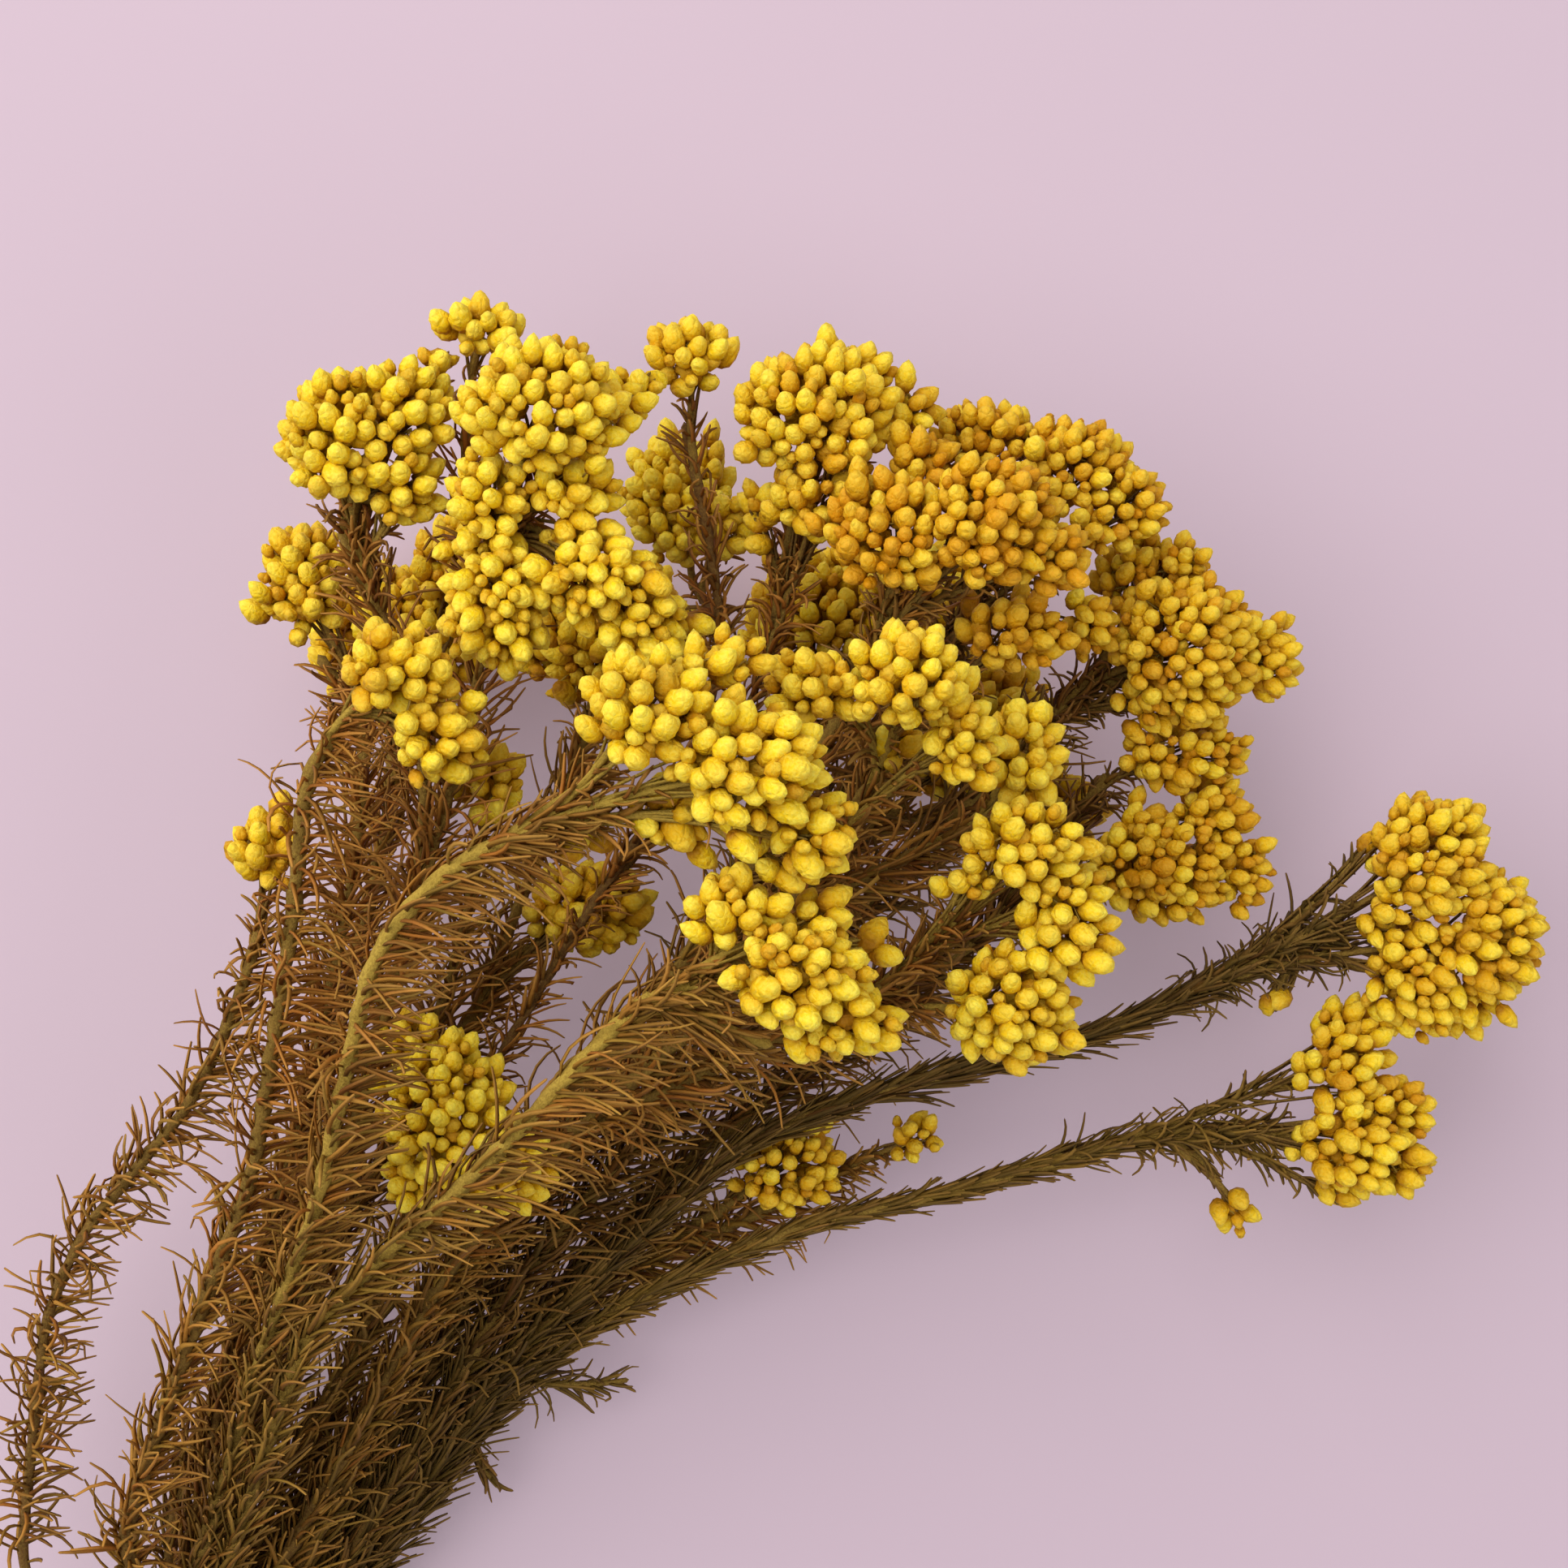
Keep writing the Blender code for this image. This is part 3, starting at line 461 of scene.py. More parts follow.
class Growth:
    """Bodies of one piece: points, faces, map corners and the numbers for the materials."""

    total = 0
    largest = 0

    def __init__(self, name):
        self.name = name
        self.points = []
        self.faces = ([], [])
        self.corners = ([], [])
        self.shares = []
        self.numbers = {}

    def add(self, points, rings, sides, share=1.0, **numbers):
        """Adds (count, points, 3) bodies of one kind; share is their part of the texture map."""
        count, size, _ = points.shape
        if not count:
            return
        *faces, cap_spots, strip_spots = ring_faces(rings, sides)
        start = sum(len(p) for p in self.points) + size * np.arange(count)[:, None, None]
        self.points.append(points.reshape(-1, 3))
        rows = max(1, round(math.sqrt(count * CELL_STRETCH)))
        columns = math.ceil(count / rows)
        cell = np.stack([np.arange(count) // rows / columns, np.arange(count) % rows / rows], 1)
        for kind, spots in enumerate((cap_spots, strip_spots)):
            inner = MAP_MARGIN + (1 - 2 * MAP_MARGIN) * spots
            spread = cell[:, None, None] + inner[None] / [columns, rows]
            self.faces[kind].append((faces[kind][None] + start).reshape(-1, spots.shape[1]))
            self.corners[kind].append(spread.reshape(-1, 2))
        self.shares.append(share)
        for name, value in numbers.items():
            filled = np.broadcast_to(value, (count, size)).reshape(-1)
            self.numbers.setdefault(name, []).append(filled)

    def tube(self, paths, radii, sides, share=1.0, flatness=1.0, side=None, relief=1.0, **numbers):
        """Adds the tubes along these paths."""
        self.add(tubes(paths, radii, sides, flatness, side, relief), paths.shape[1], sides, share, **numbers)

    def piece(self, finish, slot, *nodes):
        """The mesh object, in the frame's metres, that stands for these nodes."""
        points = to_frame(np.concatenate(self.points))
        triangles, quads = (np.concatenate(faces) for faces in self.faces)
        loops = np.concatenate([triangles.ravel(), quads.ravel()])
        sizes = np.repeat([3, 4], [len(triangles), len(quads)])
        mesh = bpy.data.meshes.new(self.name)
        mesh.vertices.add(len(points))
        mesh.vertices.foreach_set("co", points.astype(np.float32).ravel())
        mesh.loops.add(len(loops))
        mesh.loops.foreach_set("vertex_index", loops.astype(np.int32))
        mesh.polygons.add(len(sizes))
        mesh.polygons.foreach_set("loop_start", (np.cumsum(sizes) - sizes).astype(np.int32))
        mesh.update(calc_edges=True)
        tops = np.cumsum(self.shares) / sum(self.shares)
        for kind in self.corners:
            for spots, top, share in zip(kind, tops, self.shares):
                spots[:, 1] = top + (spots[:, 1] - 1) * share / sum(self.shares)
        spots = np.concatenate([spots for kind in self.corners for spots in kind])
        mesh.uv_layers.new(name="OFBake").uv.foreach_set("vector", spots.astype(np.float32).ravel())
        for name, values in self.numbers.items():
            told = mesh.attributes.new(name, "FLOAT", "POINT")
            told.data.foreach_set("value", np.concatenate(values).astype(np.float32))
        mesh.shade_smooth()
        mesh.materials.append(finish.material)
        made = placed(self.name, mesh)
        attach(made, "root")
        if nodes:
            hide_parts(*nodes)
        count = len(triangles) + 2 * len(quads)
        Growth.total += count
        Growth.largest = max(Growth.largest, count)


# %% [markdown]
# ## Papery buds
#
# A rice flower bud is an egg of thin overlapping bracts, about 3 mm across, lemon yellow at its
# tip and ochre at its base. The ochre is partly the bud's own colour and partly painted shade
# where the buds press together, pale flecks near the tip are partly painted highlight, and the
# buds of the deeper layers are darkened with painted shade. Bracts could be modelled one by one,
# but thousands of buds allow only a few dozen faces each. So one grid is bent into an egg, and its
# radius rises and falls in staggered steps, ring by ring, as the bracts' edges do. Finer edges and
# wrinkles are bump, from cells and noise a millimetre across and less.

# %% Bud shapes
BUD_KINDS = 6
# A bud's length against its width, how that varies, and where its pointed tip comes to.
BUD_LENGTH = 1.38
BUD_LENGTHS = (0.84, 1.12)
TIP_LENGTHS = (1.0, 1.08)
# The radius at its widest, how full the egg is, how much it narrows to the tip and to the base,
# and the share of the length in which the base widens.
BUD_RADIUS = 0.52
BUD_FULLNESS = 0.9
BUD_TAPERS = (0.06, 0.42)
BUD_WAIST = 0.8
WAIST_SHARE = 0.35
# Bracts in a ring, how far they swell it, and how far in radians they turn from ring to ring.
BRACTS_ROUND = 3
BRACT_RELIEF = 0.045
BRACT_TURN = 2.2
BRACT_STARTS = (0, 6)
# How much the radius of each point strays as a share, and its height as a share of the length.
DENT = 0.03
HEIGHT_DENT = 0.01


def bud_template(rings, sides, dice):
    """(points, share along) of a bud of width 1 whose base is at z = 0.

    Ring by ring the angle f runs from pole to pole: the height t is (1 - cos f) / 2 and the radius
    BUD_RADIUS (sin f)^BUD_FULLNESS, narrowed at the base and by 1 - taper t^2 towards the tip.
    Bracts swell it by relief * cos(3 a + turn), with a turn that grows from ring to ring, and each
    kind of bud gets a length, a taper and dents of its own.
    """
    f = np.pi * (np.arange(rings) + 1) / (rings + 1)
    t = (1 - np.cos(f)) / 2
    level = np.arange(rings)[:, None]
    turn = 2 * np.pi * (np.arange(sides) + 0.5 * (level % 2)) / sides
    base = BUD_WAIST + (1 - BUD_WAIST) * np.minimum(t / WAIST_SHARE, 1)
    narrow = base * (1 - dice.uniform(*BUD_TAPERS) * t**2)
    swell = np.cos(BRACTS_ROUND * turn + BRACT_TURN * level + dice.uniform(*BRACT_STARTS))
    dents = 1 + dice.normal(0, DENT, turn.shape)
    radius = (BUD_RADIUS * np.sin(f) ** BUD_FULLNESS * narrow)[:, None] * (1 + BRACT_RELIEF * swell) * dents
    flat = radius[..., None] * np.stack([np.cos(turn), np.sin(turn)], -1)
    tall = BUD_LENGTH * dice.uniform(*BUD_LENGTHS)
    height = tall * (t[:, None] + dice.normal(0, HEIGHT_DENT, turn.shape))
    points = np.concatenate([flat, height[..., None]], -1).reshape(-1, 3)
    tip = [0, 0, tall * dice.uniform(*TIP_LENGTHS)]
    return np.concatenate([[[0, 0, 0]], points, [tip]]), np.concatenate([[0], np.repeat(t, sides), [1]])


# %% Kinds of buds and their copies
# A direction that hardly any bud's axis has.
SIDE_HINT = np.array([0.31, 0.95, 0.12])


def turned(template, axes, spins, widths, roots):
    """Copies of the template: its z axis along axes, spun about it, scaled and moved to the roots."""
    side = unit(np.cross(axes, SIDE_HINT))
    other = np.cross(axes, side)
    across = side * np.cos(spins)[:, None] + other * np.sin(spins)[:, None]
    frame_of_each = np.stack([across, np.cross(axes, across), axes], 1)
    return np.einsum("pk,nkd->npd", template, frame_of_each) * widths[:, None, None] + roots[:, None]


template_dice = np.random.default_rng(SEED)
# Rings and points on a ring of a bud that is seen whole, and of one that hides behind others.
BUD_GRIDS = {"full": (5, 8), "hidden": (4, 6)}
BUDS = {
    grain: [bud_template(rings, sides, template_dice) for _ in range(BUD_KINDS)]
    for grain, (rings, sides) in BUD_GRIDS.items()
}
for grain, grid in BUD_GRIDS.items():
    triangles, quads, *_ = ring_faces(*grid)
    print(BUD_KINDS, "kinds of", grain, "bud with", len(triangles) + len(quads), "faces each")

# %% The papery finish
BRACT_SIZE = 1.3

papery = Finish("papery_buds", roughness=0.5, specular=0.16)
bud_hue_and_shade = papery.said("hue")
bud_along = papery.said("along")
blotch = papery.noise(1.5)
fibre = papery.noise(0.45, detail=4.0, roughness=0.65)
lemon = papery.mix(bud_hue_and_shade, (0.98, 0.67, 0.007), (0.70, 0.31, 0.003))
ochre = papery.mix(blotch, (0.50, 0.23, 0.004), (0.30, 0.12, 0.004))
# Ochre, partly the bud's own colour and partly painted shade at its base between the buds, fills
# the first sixth of a bud and fades out, unevenly, at six tenths of it.
ochre_and_shade_share = (1.36 - bud_along * 2.2 + (blotch - 0.5) * 1.0 + (fibre - 0.5) * 0.5).held()
# Pale flecks, partly the bracts' own and partly painted highlight, grow denser towards the tip,
# and fewer on the orange buds.
light_share = ((bud_along - 0.45) * 1.4 + (fibre - 0.5) * 2.4).held() * (0.66 - bud_hue_and_shade * 0.5)
pale_and_highlight = papery.mix(light_share, papery.mix(ochre_and_shade_share, lemon, ochre), (1.0, 0.90, 0.14))
# The buds of the deeper layers are darkened towards amber brown: painted shade.
deep = papery.mix(papery.said("deep"), pale_and_highlight, (0.36, 0.155, 0.003))
papery.paint(deep, 0.4 + fibre * 0.3)
bracts = {"Vector": papery.place, "Scale": 1 / (BRACT_SIZE * MM)}
bract_edge = papery.node("TexVoronoi", {"feature": "DISTANCE_TO_EDGE"}, bracts)
papery.relief(fibre * 0.4 + blotch * 0.3 + (bract_edge * 3.0).held() * 0.4, 0.42)
papery.shader.inputs["Subsurface Weight"].default_value = 0.12
papery.shader.inputs["Subsurface Radius"].default_value = (1.0, 0.7, 0.15)
papery.shader.inputs["Subsurface Scale"].default_value = 0.0012
print("nodes in the papery finish:", len(papery.nodes))

# %% [markdown]
# ## Stems and their paths
#
# The stems' corners are relaxed into curves: a path is cut into even steps, and each point is
# averaged with its neighbours a few times. That never overshoots, as a spline through uneven
# points would.

# %% Smooth paths
PATH_STEP = 1.6
PATH_ROUNDS = 10
FEWEST_POINTS = 6


def distances(path):
    """How far along the path each of its points lies: the lengths of its steps, added up."""
    return np.concatenate([[0], np.cumsum(np.linalg.norm(np.diff(path, axis=0), axis=1))])


def read_at(spots, lengths, rows):
    """Rows of numbers that are known at these lengths, read between them at the spots."""
    return np.stack([np.interp(spots, lengths, column) for column in rows.T], 1)


def eased(points, step=PATH_STEP):
    """The path in even steps, with each inner point averaged with its neighbours, round by round."""
    points = np.array(points, float)
    lengths = distances(points)
    count = max(FEWEST_POINTS, round(lengths[-1] / step))
    path = read_at(np.linspace(0, lengths[-1], count), lengths, points)
    for _ in range(PATH_ROUNDS):
        path[1:-1] = (path[:-2] + 2 * path[1:-1] + path[2:]) / 4
    return path


# %% The runs of each stem
# Radii in mm where a stem or fork starts, and at its tip.
STEM_RADIUS = 1.5
TIP_RADIUS = 1.0
FORK_RADIUS = 0.9
FORK_TIP_RADIUS = 0.7
# The share of its length in which a stem thins.
THINNING = 0.5
# How thick some stems are above the tie against the others.
GIRTHS = {"n": 0.75, "l": 0.8, "d": 0.85, "e": 0.65, "o": 0.8}


def runs_of(name):
    """(path, radii) of a stem's main run, from its cut end, and of each fork."""
    row, place, paths = STEMS[name]
    across = ROW_OFFSETS[row] + SLOT_PITCH * place
    end = END_ALONG + random.Random(f"{SEED} end {name}").uniform(-END_JITTER, END_JITTER)
    height = ROW_HEIGHTS[row]
    held = [
        on_plan(end, across * END_SPREAD, height),
        on_plan(TIE_ALONG - HELD_HALF_LENGTH, across, height),
        on_plan(TIE_ALONG + HELD_HALF_LENGTH, across, height),
    ]
    main = eased([*held, *paths[0]])
    girth = GIRTHS.get(name, 1.0)
    thinned = np.minimum(np.linspace(0, 1, len(main)) / THINNING, 1)
    runs = [(main, STEM_RADIUS + (TIP_RADIUS * girth - STEM_RADIUS) * thinned)]
    fork_radii = girth * np.array([FORK_RADIUS, FORK_TIP_RADIUS])
    for fork in paths[1:]:
        path = eased(fork)
        runs.append((path, np.linspace(*fork_radii, len(path))))
    return runs


RUNS = {name: runs_of(name) for name in STEMS}
print("paths of", sum(len(runs) for runs in RUNS.values()), "runs")

# %% [markdown]
# ## Needle leaves
#
# The leaves are needles about 10 mm long and under 1 mm wide, set in a spiral all round the
# stem, several to each millimetre. Dried, they curve: on the arching stems they hang
# like a fringe, on the two right sprays they lie close and point forward. Each needle is a flat
# tube along a path whose direction turns step by step, so one formula serves them all.

# %% Needle habits
GOLDEN_ANGLE = math.pi * (3 - math.sqrt(5))
# Where along the bunch the needles begin, and where they begin to gather on one side.
LEAFY_FROM_ALONG = -142.0
LEAFY_FADE = 9.0
LOP_FROM_ALONG = -105.0
LOP_FADE = 50.0
NEEDLE_RINGS = 6
NEEDLE_SIDES = 3
NEEDLE_HALF_WIDTH = 0.37
NEEDLE_FLATNESS = 0.62
NEEDLE_PROFILE = np.array([0.75, 1.0, 1.0, 0.92, 0.8, 0.55])
FLOOR_CLEARANCE = 0.35
HANG_WAYS = {"down": (0.15, -1.0, -0.2), "droop": (0.5, -0.9, -0.2), "right": (0.85, -0.5, -0.15)}

# How needles grow: how many to each mm of stem, their length in mm, their lean from the stem in
# degrees, how much they bend forward, hang and curl, which way they hang, the length in mm
# that is bare below the head, their hue from rust (0) to olive (1), how light they are (partly
# their own tone, partly painted shade, darker on the stems deep in the bunch and lighter on
# those on top), how much they gather on the side to which they hang, and how much they keep this
# low on the stem.
USUAL_HABIT = dict(rate=2.9, length=10.5, lean=42, forward=0.6, hang=0.6, curl=0.75, way="down", bare=3,
                   hue=0.35, light=0.95, lop=0.25, keeps=0)
HABITS = {
    "a": dict(rate=3.4, length=11, lean=52, forward=0.2, hang=1.7, curl=0.55, way="right", lop=0.8),
    "b": dict(rate=3.4, length=11, lean=45, forward=0.4, hang=1.3, curl=0.55, way="right", hue=0.5, lop=0.6),
    "c": dict(rate=3.2, hue=0.3, light=1),
    "d": dict(hang=0.8, hue=0.08, light=1),
    "e": dict(rate=2.2, length=6.5, bare=9, hue=0.1),
    "g": dict(rate=4.2, length=11.5, light=0.6),
    "h": dict(rate=4.6, length=12, light=0.55),
    "i": dict(rate=4.6, length=12, lean=40, hue=0.4, light=0.6),
    "j": dict(rate=5.2, length=9, lean=15, forward=1.6, hang=0, curl=0.35, hue=0.8, light=0.42, lop=0),
    "k": dict(rate=4.4, length=7.5, lean=15, forward=1.6, hang=0, curl=0.35, hue=1, light=0.6, lop=0),
    "l": dict(rate=3.3, length=11.5, hang=0.8, hue=0.08, light=1.05),
    "m": dict(rate=3.8, length=11.5, lean=52, forward=0.2, hang=2, way="droop", hue=0.2, light=1.2, lop=0.7,
              keeps=0.4),
    "n": dict(rate=3.6, length=8, lean=58, forward=0.1, hang=0.9, way="right", lop=0.4, keeps=1),
}
# How the small leaves on the branches under the heads differ from those of their stem.
BRANCH_HABIT = dict(rate=1.8, length=6.5, lean=38, forward=0.5, hang=0.3, curl=0.9, bare=1)
# Low down the needles of all stems grow more alike, except where a stem keeps its own habit.
LOW_FROM_ALONG = -58.0
LOW_FADE = 45.0
LOW_HABIT = dict(forward=1.5, hang=0.4, lean=27, length=9.5)
LOW_DARKER = 0.2
LOW_GREENER = 0.25
print(len(HABITS), "stems grow their needles in a way of their own")

# %% Needles round a run of a stem
# How far needles stray: place in parts of a gap, turn in radians, pull and curl in parts of the
# habit's curl, and hue.
SPOT_STRAY = 0.4
TURN_STRAY = 0.35
PULL_STRAY = 0.7
CURL_STRAY = 1.6
HUE_STRAY = 0.22
# Shares of the usual lean, length, width and lightness (partly tone at random, partly painted
# shade), from the least to the most.
LEANS = (0.65, 1.35)
LENGTHS = (0.7, 1.15)
WIDTHS = (0.8, 1.2)
TONES_AND_SHADING = (0.55, 1.15)
# Needles get shorter in this many mm below the tip of a run, down to this share.
SHORT_FROM = 14
SHORTEST = 0.55
# They start at this share of the stem's radius, inside its bark.
START_SHARE = 0.5
# Needles that would enter a dome deeper than this level are left out.
DOME_EDGE = 0.95


def bent_paths(roots, starts, pulls, curls, lengths, rings):
    """Paths in even steps whose direction is unit(start + t pull + t^2 curl), added up from the root."""
    t = np.linspace(0, 1, rings)[None, :, None]
    ways = unit(starts[:, None] + pulls[:, None] * t + curls[:, None] * t**2)
    steps = (ways[:, 1:] + ways[:, :-1]) / 2 * (lengths / (rings - 1))[:, None, None]
    return roots[:, None] + np.concatenate([0 * roots[:, None], np.cumsum(steps, 1)], 1)


def along_of(points):
    """How far along the bunch the points lie on the plan."""
    return points @ np.array([COS, SIN, 0.0])


def needles_on(path, radii, habit, dice):
    """(paths, radii, width directions, hues, lightness with painted shade) of the needles round one run of a
    stem.

    A needle starts at out * sin(lean) + forward * cos(lean), where out goes round the stem by the
    golden angle, and is pulled by forward * its bend + the hanging way * its hang.
    """
    lengths = distances(path)
    leafy = lengths[-1] - habit["bare"]
    count = max(2, int(leafy * habit["rate"]))
    spots = (np.arange(count) + dice.uniform(-SPOT_STRAY, SPOT_STRAY, count)) / habit["rate"]
    roots = read_at(spots, lengths, path)
    girth = np.interp(spots, lengths, radii)[:, None]
    forward = unit(read_at(spots, lengths, np.gradient(path, axis=0)))
    side = unit(np.cross(forward, UP))
    other = np.cross(forward, side)
    turn = (np.arange(count) * GOLDEN_ANGLE + dice.normal(0, TURN_STRAY, count))[:, None]
    hang_way = unit(np.array(HANG_WAYS[habit["way"]]))
    sideways = hang_way - forward * (forward @ hang_way)[:, None]
    along = along_of(roots)[:, None]
    lop = habit["lop"] * np.clip((along - LOP_FROM_ALONG) / LOP_FADE, 0, 1)
    out = unit(side * np.cos(turn) + other * np.sin(turn) + sideways * lop)
    low = np.clip((LOW_FROM_ALONG - along) / LOW_FADE, 0, 1) * (1 - habit["keeps"])
    forth, hang, lean, long = (habit[part] + (LOW_HABIT[part] - habit[part]) * low for part in LOW_HABIT)
    angle = np.radians(lean * dice.uniform(*LEANS, (count, 1)))
    starts = out * np.sin(angle) + forward * np.cos(angle)
    pulls = forward * forth + hang_way * hang + dice.normal(0, PULL_STRAY * habit["curl"], (count, 3))
    curls = dice.normal(0, CURL_STRAY * habit["curl"], (count, 3))
    shrink = np.clip((lengths[-1] - spots) / SHORT_FROM, SHORTEST, 1)
    size = long[:, 0] * dice.uniform(*LENGTHS, count) * shrink
    paths = bent_paths(roots + out * girth * START_SHARE, starts, pulls, curls, size, NEEDLE_RINGS)
    paths[..., 2] = np.maximum(paths[..., 2], FLOOR_CLEARANCE)
    kept = along[:, 0] > LEAFY_FROM_ALONG - dice.uniform(0, LEAFY_FADE, count)
    kept &= ~within(paths[:, -1], DOME_EDGE) & ~within(paths[:, 2], DOME_EDGE)
    widths = NEEDLE_HALF_WIDTH * NEEDLE_PROFILE * dice.uniform(*WIDTHS, (count, 1))
    hues = np.clip(habit["hue"] + LOW_GREENER * low[:, 0] + dice.normal(0, HUE_STRAY, count), 0, 1)
    # Lightness: partly the needles' own tone at random and partly painted shade on the stems deep in the
    # bunch; it is also darker low on the stem.
    light = habit["light"] * (1 - LOW_DARKER * low[:, 0]) * dice.uniform(*TONES_AND_SHADING, count)
    return [part[kept] for part in (paths, widths, np.cross(starts, out), hues, light)]


# %% The needles' finish
needle = Finish("needle_leaves", roughness=0.7, specular=0.2)
needle_hue = needle.said("hue")
needle_along = needle.said("along")
needle_light = needle.said("light")
needle_blotch = needle.noise(3.0)
rust = needle.mix(needle_blotch, (0.46, 0.17, 0.02), (0.26, 0.085, 0.012))
olive = needle.mix(needle_blotch, (0.40, 0.235, 0.03), (0.22, 0.125, 0.015))
leaf = needle.mix((needle_hue * 1.2 + (needle_blotch - 0.5) * 0.8).held(), rust, olive)
# A needle grows paler from two fifths of its length to its tip: partly its own colour, partly
# painted highlight.
tipped_and_highlight = needle.mix((needle_along * 0.9 - 0.35).held(), leaf, (0.58, 0.30, 0.06))
# Each needle is darkened towards black by its lightness number: partly its own tone, partly painted shade.
needle.paint(needle.mix(needle_light, (0.012, 0.007, 0.003), tipped_and_highlight), 0.55 + needle_blotch * 0.3)
needle.relief(needle.noise(0.5), 0.12)
print("nodes in the needles' finish:", len(needle.nodes))

# %% [markdown]
# ## Domes and clumps
#
# A head is a few domes, and a dome is made of clumps, each a small umbel on its own branchlet.
# Clumps could be scattered at random, but the real ones keep an even distance. So they sit on a
# spiral of even spacing over the dome, turned towards the way in which the dome grows.

# %% Domes beyond the plan
# Smaller domes that fill the waists between the plan's domes, as the clumps do on the real heads.
WAISTS = {
    "a1": [(-13, -4, 77, 6, 5), (0, -10.5, 79, 5, 4), (-25, -7, 75, 2.4, 2.2)],
    "b1": [(11.5, -19.5, 72, 3.5, 4)],
    "c1": [(14.5, 5.5, 65, 4.5, 4)],
    "d1": [(-50, 37, 57, 5.5, 4), (-43.5, 54.5, 58, 3.2, 3.5)],
    "d2": [(-17.5, 51.5, 60, 4, 3.5), (-38, 30, 63, 6, 3.5), (-25, 31, 63, 6.5, 3.5)],
    "e2": [(-3.5, 36, 50, 3.5, 5)],
    "e3": [(-7, 35, 44, 4, 5.5)],
    "f1": [(17.5, 42.5, 57, 5, 4.5)],
    "g1": [(41, 34.5, 49, 4.5, 4.5), (41, 21, 44, 4.5, 5)],
    "h1": [(54, 30, 40, 4.5, 4.5), (58, 11, 37, 4, 4)],
    "j1": [(84, -18.5, 34, 5.5, 6), (94, -31, 32, 4.5, 4.5), (81, -8, 33, 2.5, 3),
           (67.5, -31, 29, 1.8, 1.6)],
    "k1": [(86, -45, 29, 4.5, 5), (86, -53, 29, 4.5, 5), (72.5, -50.5, 28, 3, 3.5),
           (77, -57.5, 28, 3.5, 2.5)],
    "o1": [(-49.5, -52, 46, 4.5, 4.5)],
    "p1": [(4, -47.5, 22, 5, 2.5)],
}
# Heads whose buds stand loose, with the share of the buds that they keep.
LOOSE = {"d3": 0.6, "e1": 0.75, "k2": 0.7, "n1": 0.75, "o1": 0.62, "p1": 0.5, "p2": 0.7}
print(sum(len(sizes) for sizes in WAISTS.values()), "domes beyond the plan's")

# %% Domes and clumps
# The gap between clumps in mm on a dome of full size, and the least and the most that it
# shrinks or grows with the dome.
CLUMP_PITCH = 8.5
FULL_SIZE = 8.5
LEAST_SCALE = 0.72
MOST_SCALE = 1.15
FEWEST_CLUMPS = 11
# How far the buds reach past the plan's domes, and how deep a dome is for its smaller half size.
DOME_GROWTH = 1.12
DOME_DEPTH = 0.8
DOME_EXTRA = 0.8
# A dome bears no buds where it looks back at its stem by more than this, unless it looks up.
BACK_LEVEL = -0.32
TOP_LEVEL = 0.15
LOOK_UP = 0.7
# How deep the clumps' roots lie, and the valleys between clumps, in mm.
ROOT_DEPTH = 5.5
VALLEY_DEPTH = 1.15
# The least half size in mm of the shell on which the clumps' roots or the buds sit.
LEAST_SHELL = 1.0


def spiral(count, turn=0.0):
    """Unit vectors at even spacing over a ball: heights in even steps, turned by the golden angle."""
    level = 1 - 2 * (np.arange(count) + 0.5) / count
    around = turn + np.arange(count) * GOLDEN_ANGLE
    flat = np.sqrt(1 - level**2)
    return np.stack([flat * np.cos(around), flat * np.sin(around), level], 1)


def domes_of(head):
    """The domes of a head, each with its half sizes, clumps and the roots of those."""
    run, sizes = HEADS[head]
    sizes = [*sizes, *WAISTS.get(head, [])]
    hub = RUNS[head[0]][run][0][-1]
    dice = random.Random(f"{SEED} head {head}")
    domes = []
    for x, y, z, wide, high in sizes:
        centre = np.array([x, y, z], float)
        half = np.array([wide, high, DOME_DEPTH * min(wide, high) + DOME_EXTRA]) * DOME_GROWTH
        scale = min(MOST_SCALE, max(LEAST_SCALE, min(wide, high) / FULL_SIZE))
        growth = unit(centre - hub)
        facing = unit(growth + UP * LOOK_UP)
        size = (half[0] * half[1] + half[1] * half[2] + half[2] * half[0]) / 3
        count = max(FEWEST_CLUMPS, round(4 * math.pi * size / (CLUMP_PITCH * scale) ** 2))
        tilt = np.array(Vector(UP).rotation_difference(Vector(growth)).to_matrix())
        clumps = spiral(count, dice.uniform(0, math.pi)) @ tilt.T
        for _ in range(count):
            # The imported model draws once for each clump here, so the next dome turns as it does there.
            dice.random()
        roots = centre + np.maximum(half - ROOT_DEPTH * scale, LEAST_SHELL) * clumps
        domes.append({"centre": centre, "half": half, "scale": scale, "growth": growth, "facing": facing,
                      "clumps": clumps, "roots": roots, "loose": LOOSE.get(head, 1.0)})
    return domes


def grown_sides(dome, ways):
    """Which ways out of a dome bear buds: all but those that look back at its stem or down."""
    return (ways @ dome["facing"] > BACK_LEVEL) | (ways[:, 2] > TOP_LEVEL)


DOMES = {head: domes_of(head) for head in HEADS}
print(sum(len(domes) for domes in DOMES.values()), "domes")

# %% [markdown]
# ## Where each bud sits
#
# The buds can't follow a spiral, or it would show. Instead many places are tried in random
# order, and a bud stays where none is too near. Five rounds fill a dome: the outer buds, those
# that show between them, two plainer layers behind, and small unopened buds in the gaps that
# are left. A bud points partly out of its dome and partly the way that its stem grows, as buds
# do that all reach for the light.

# %% Places that keep their distance
# The side of a cell in mm, more than the distance that two buds keep.
CELL = 4.2
# How far two buds that are too near move apart in one round, as a share of what they overlap.
PUSH = 0.45


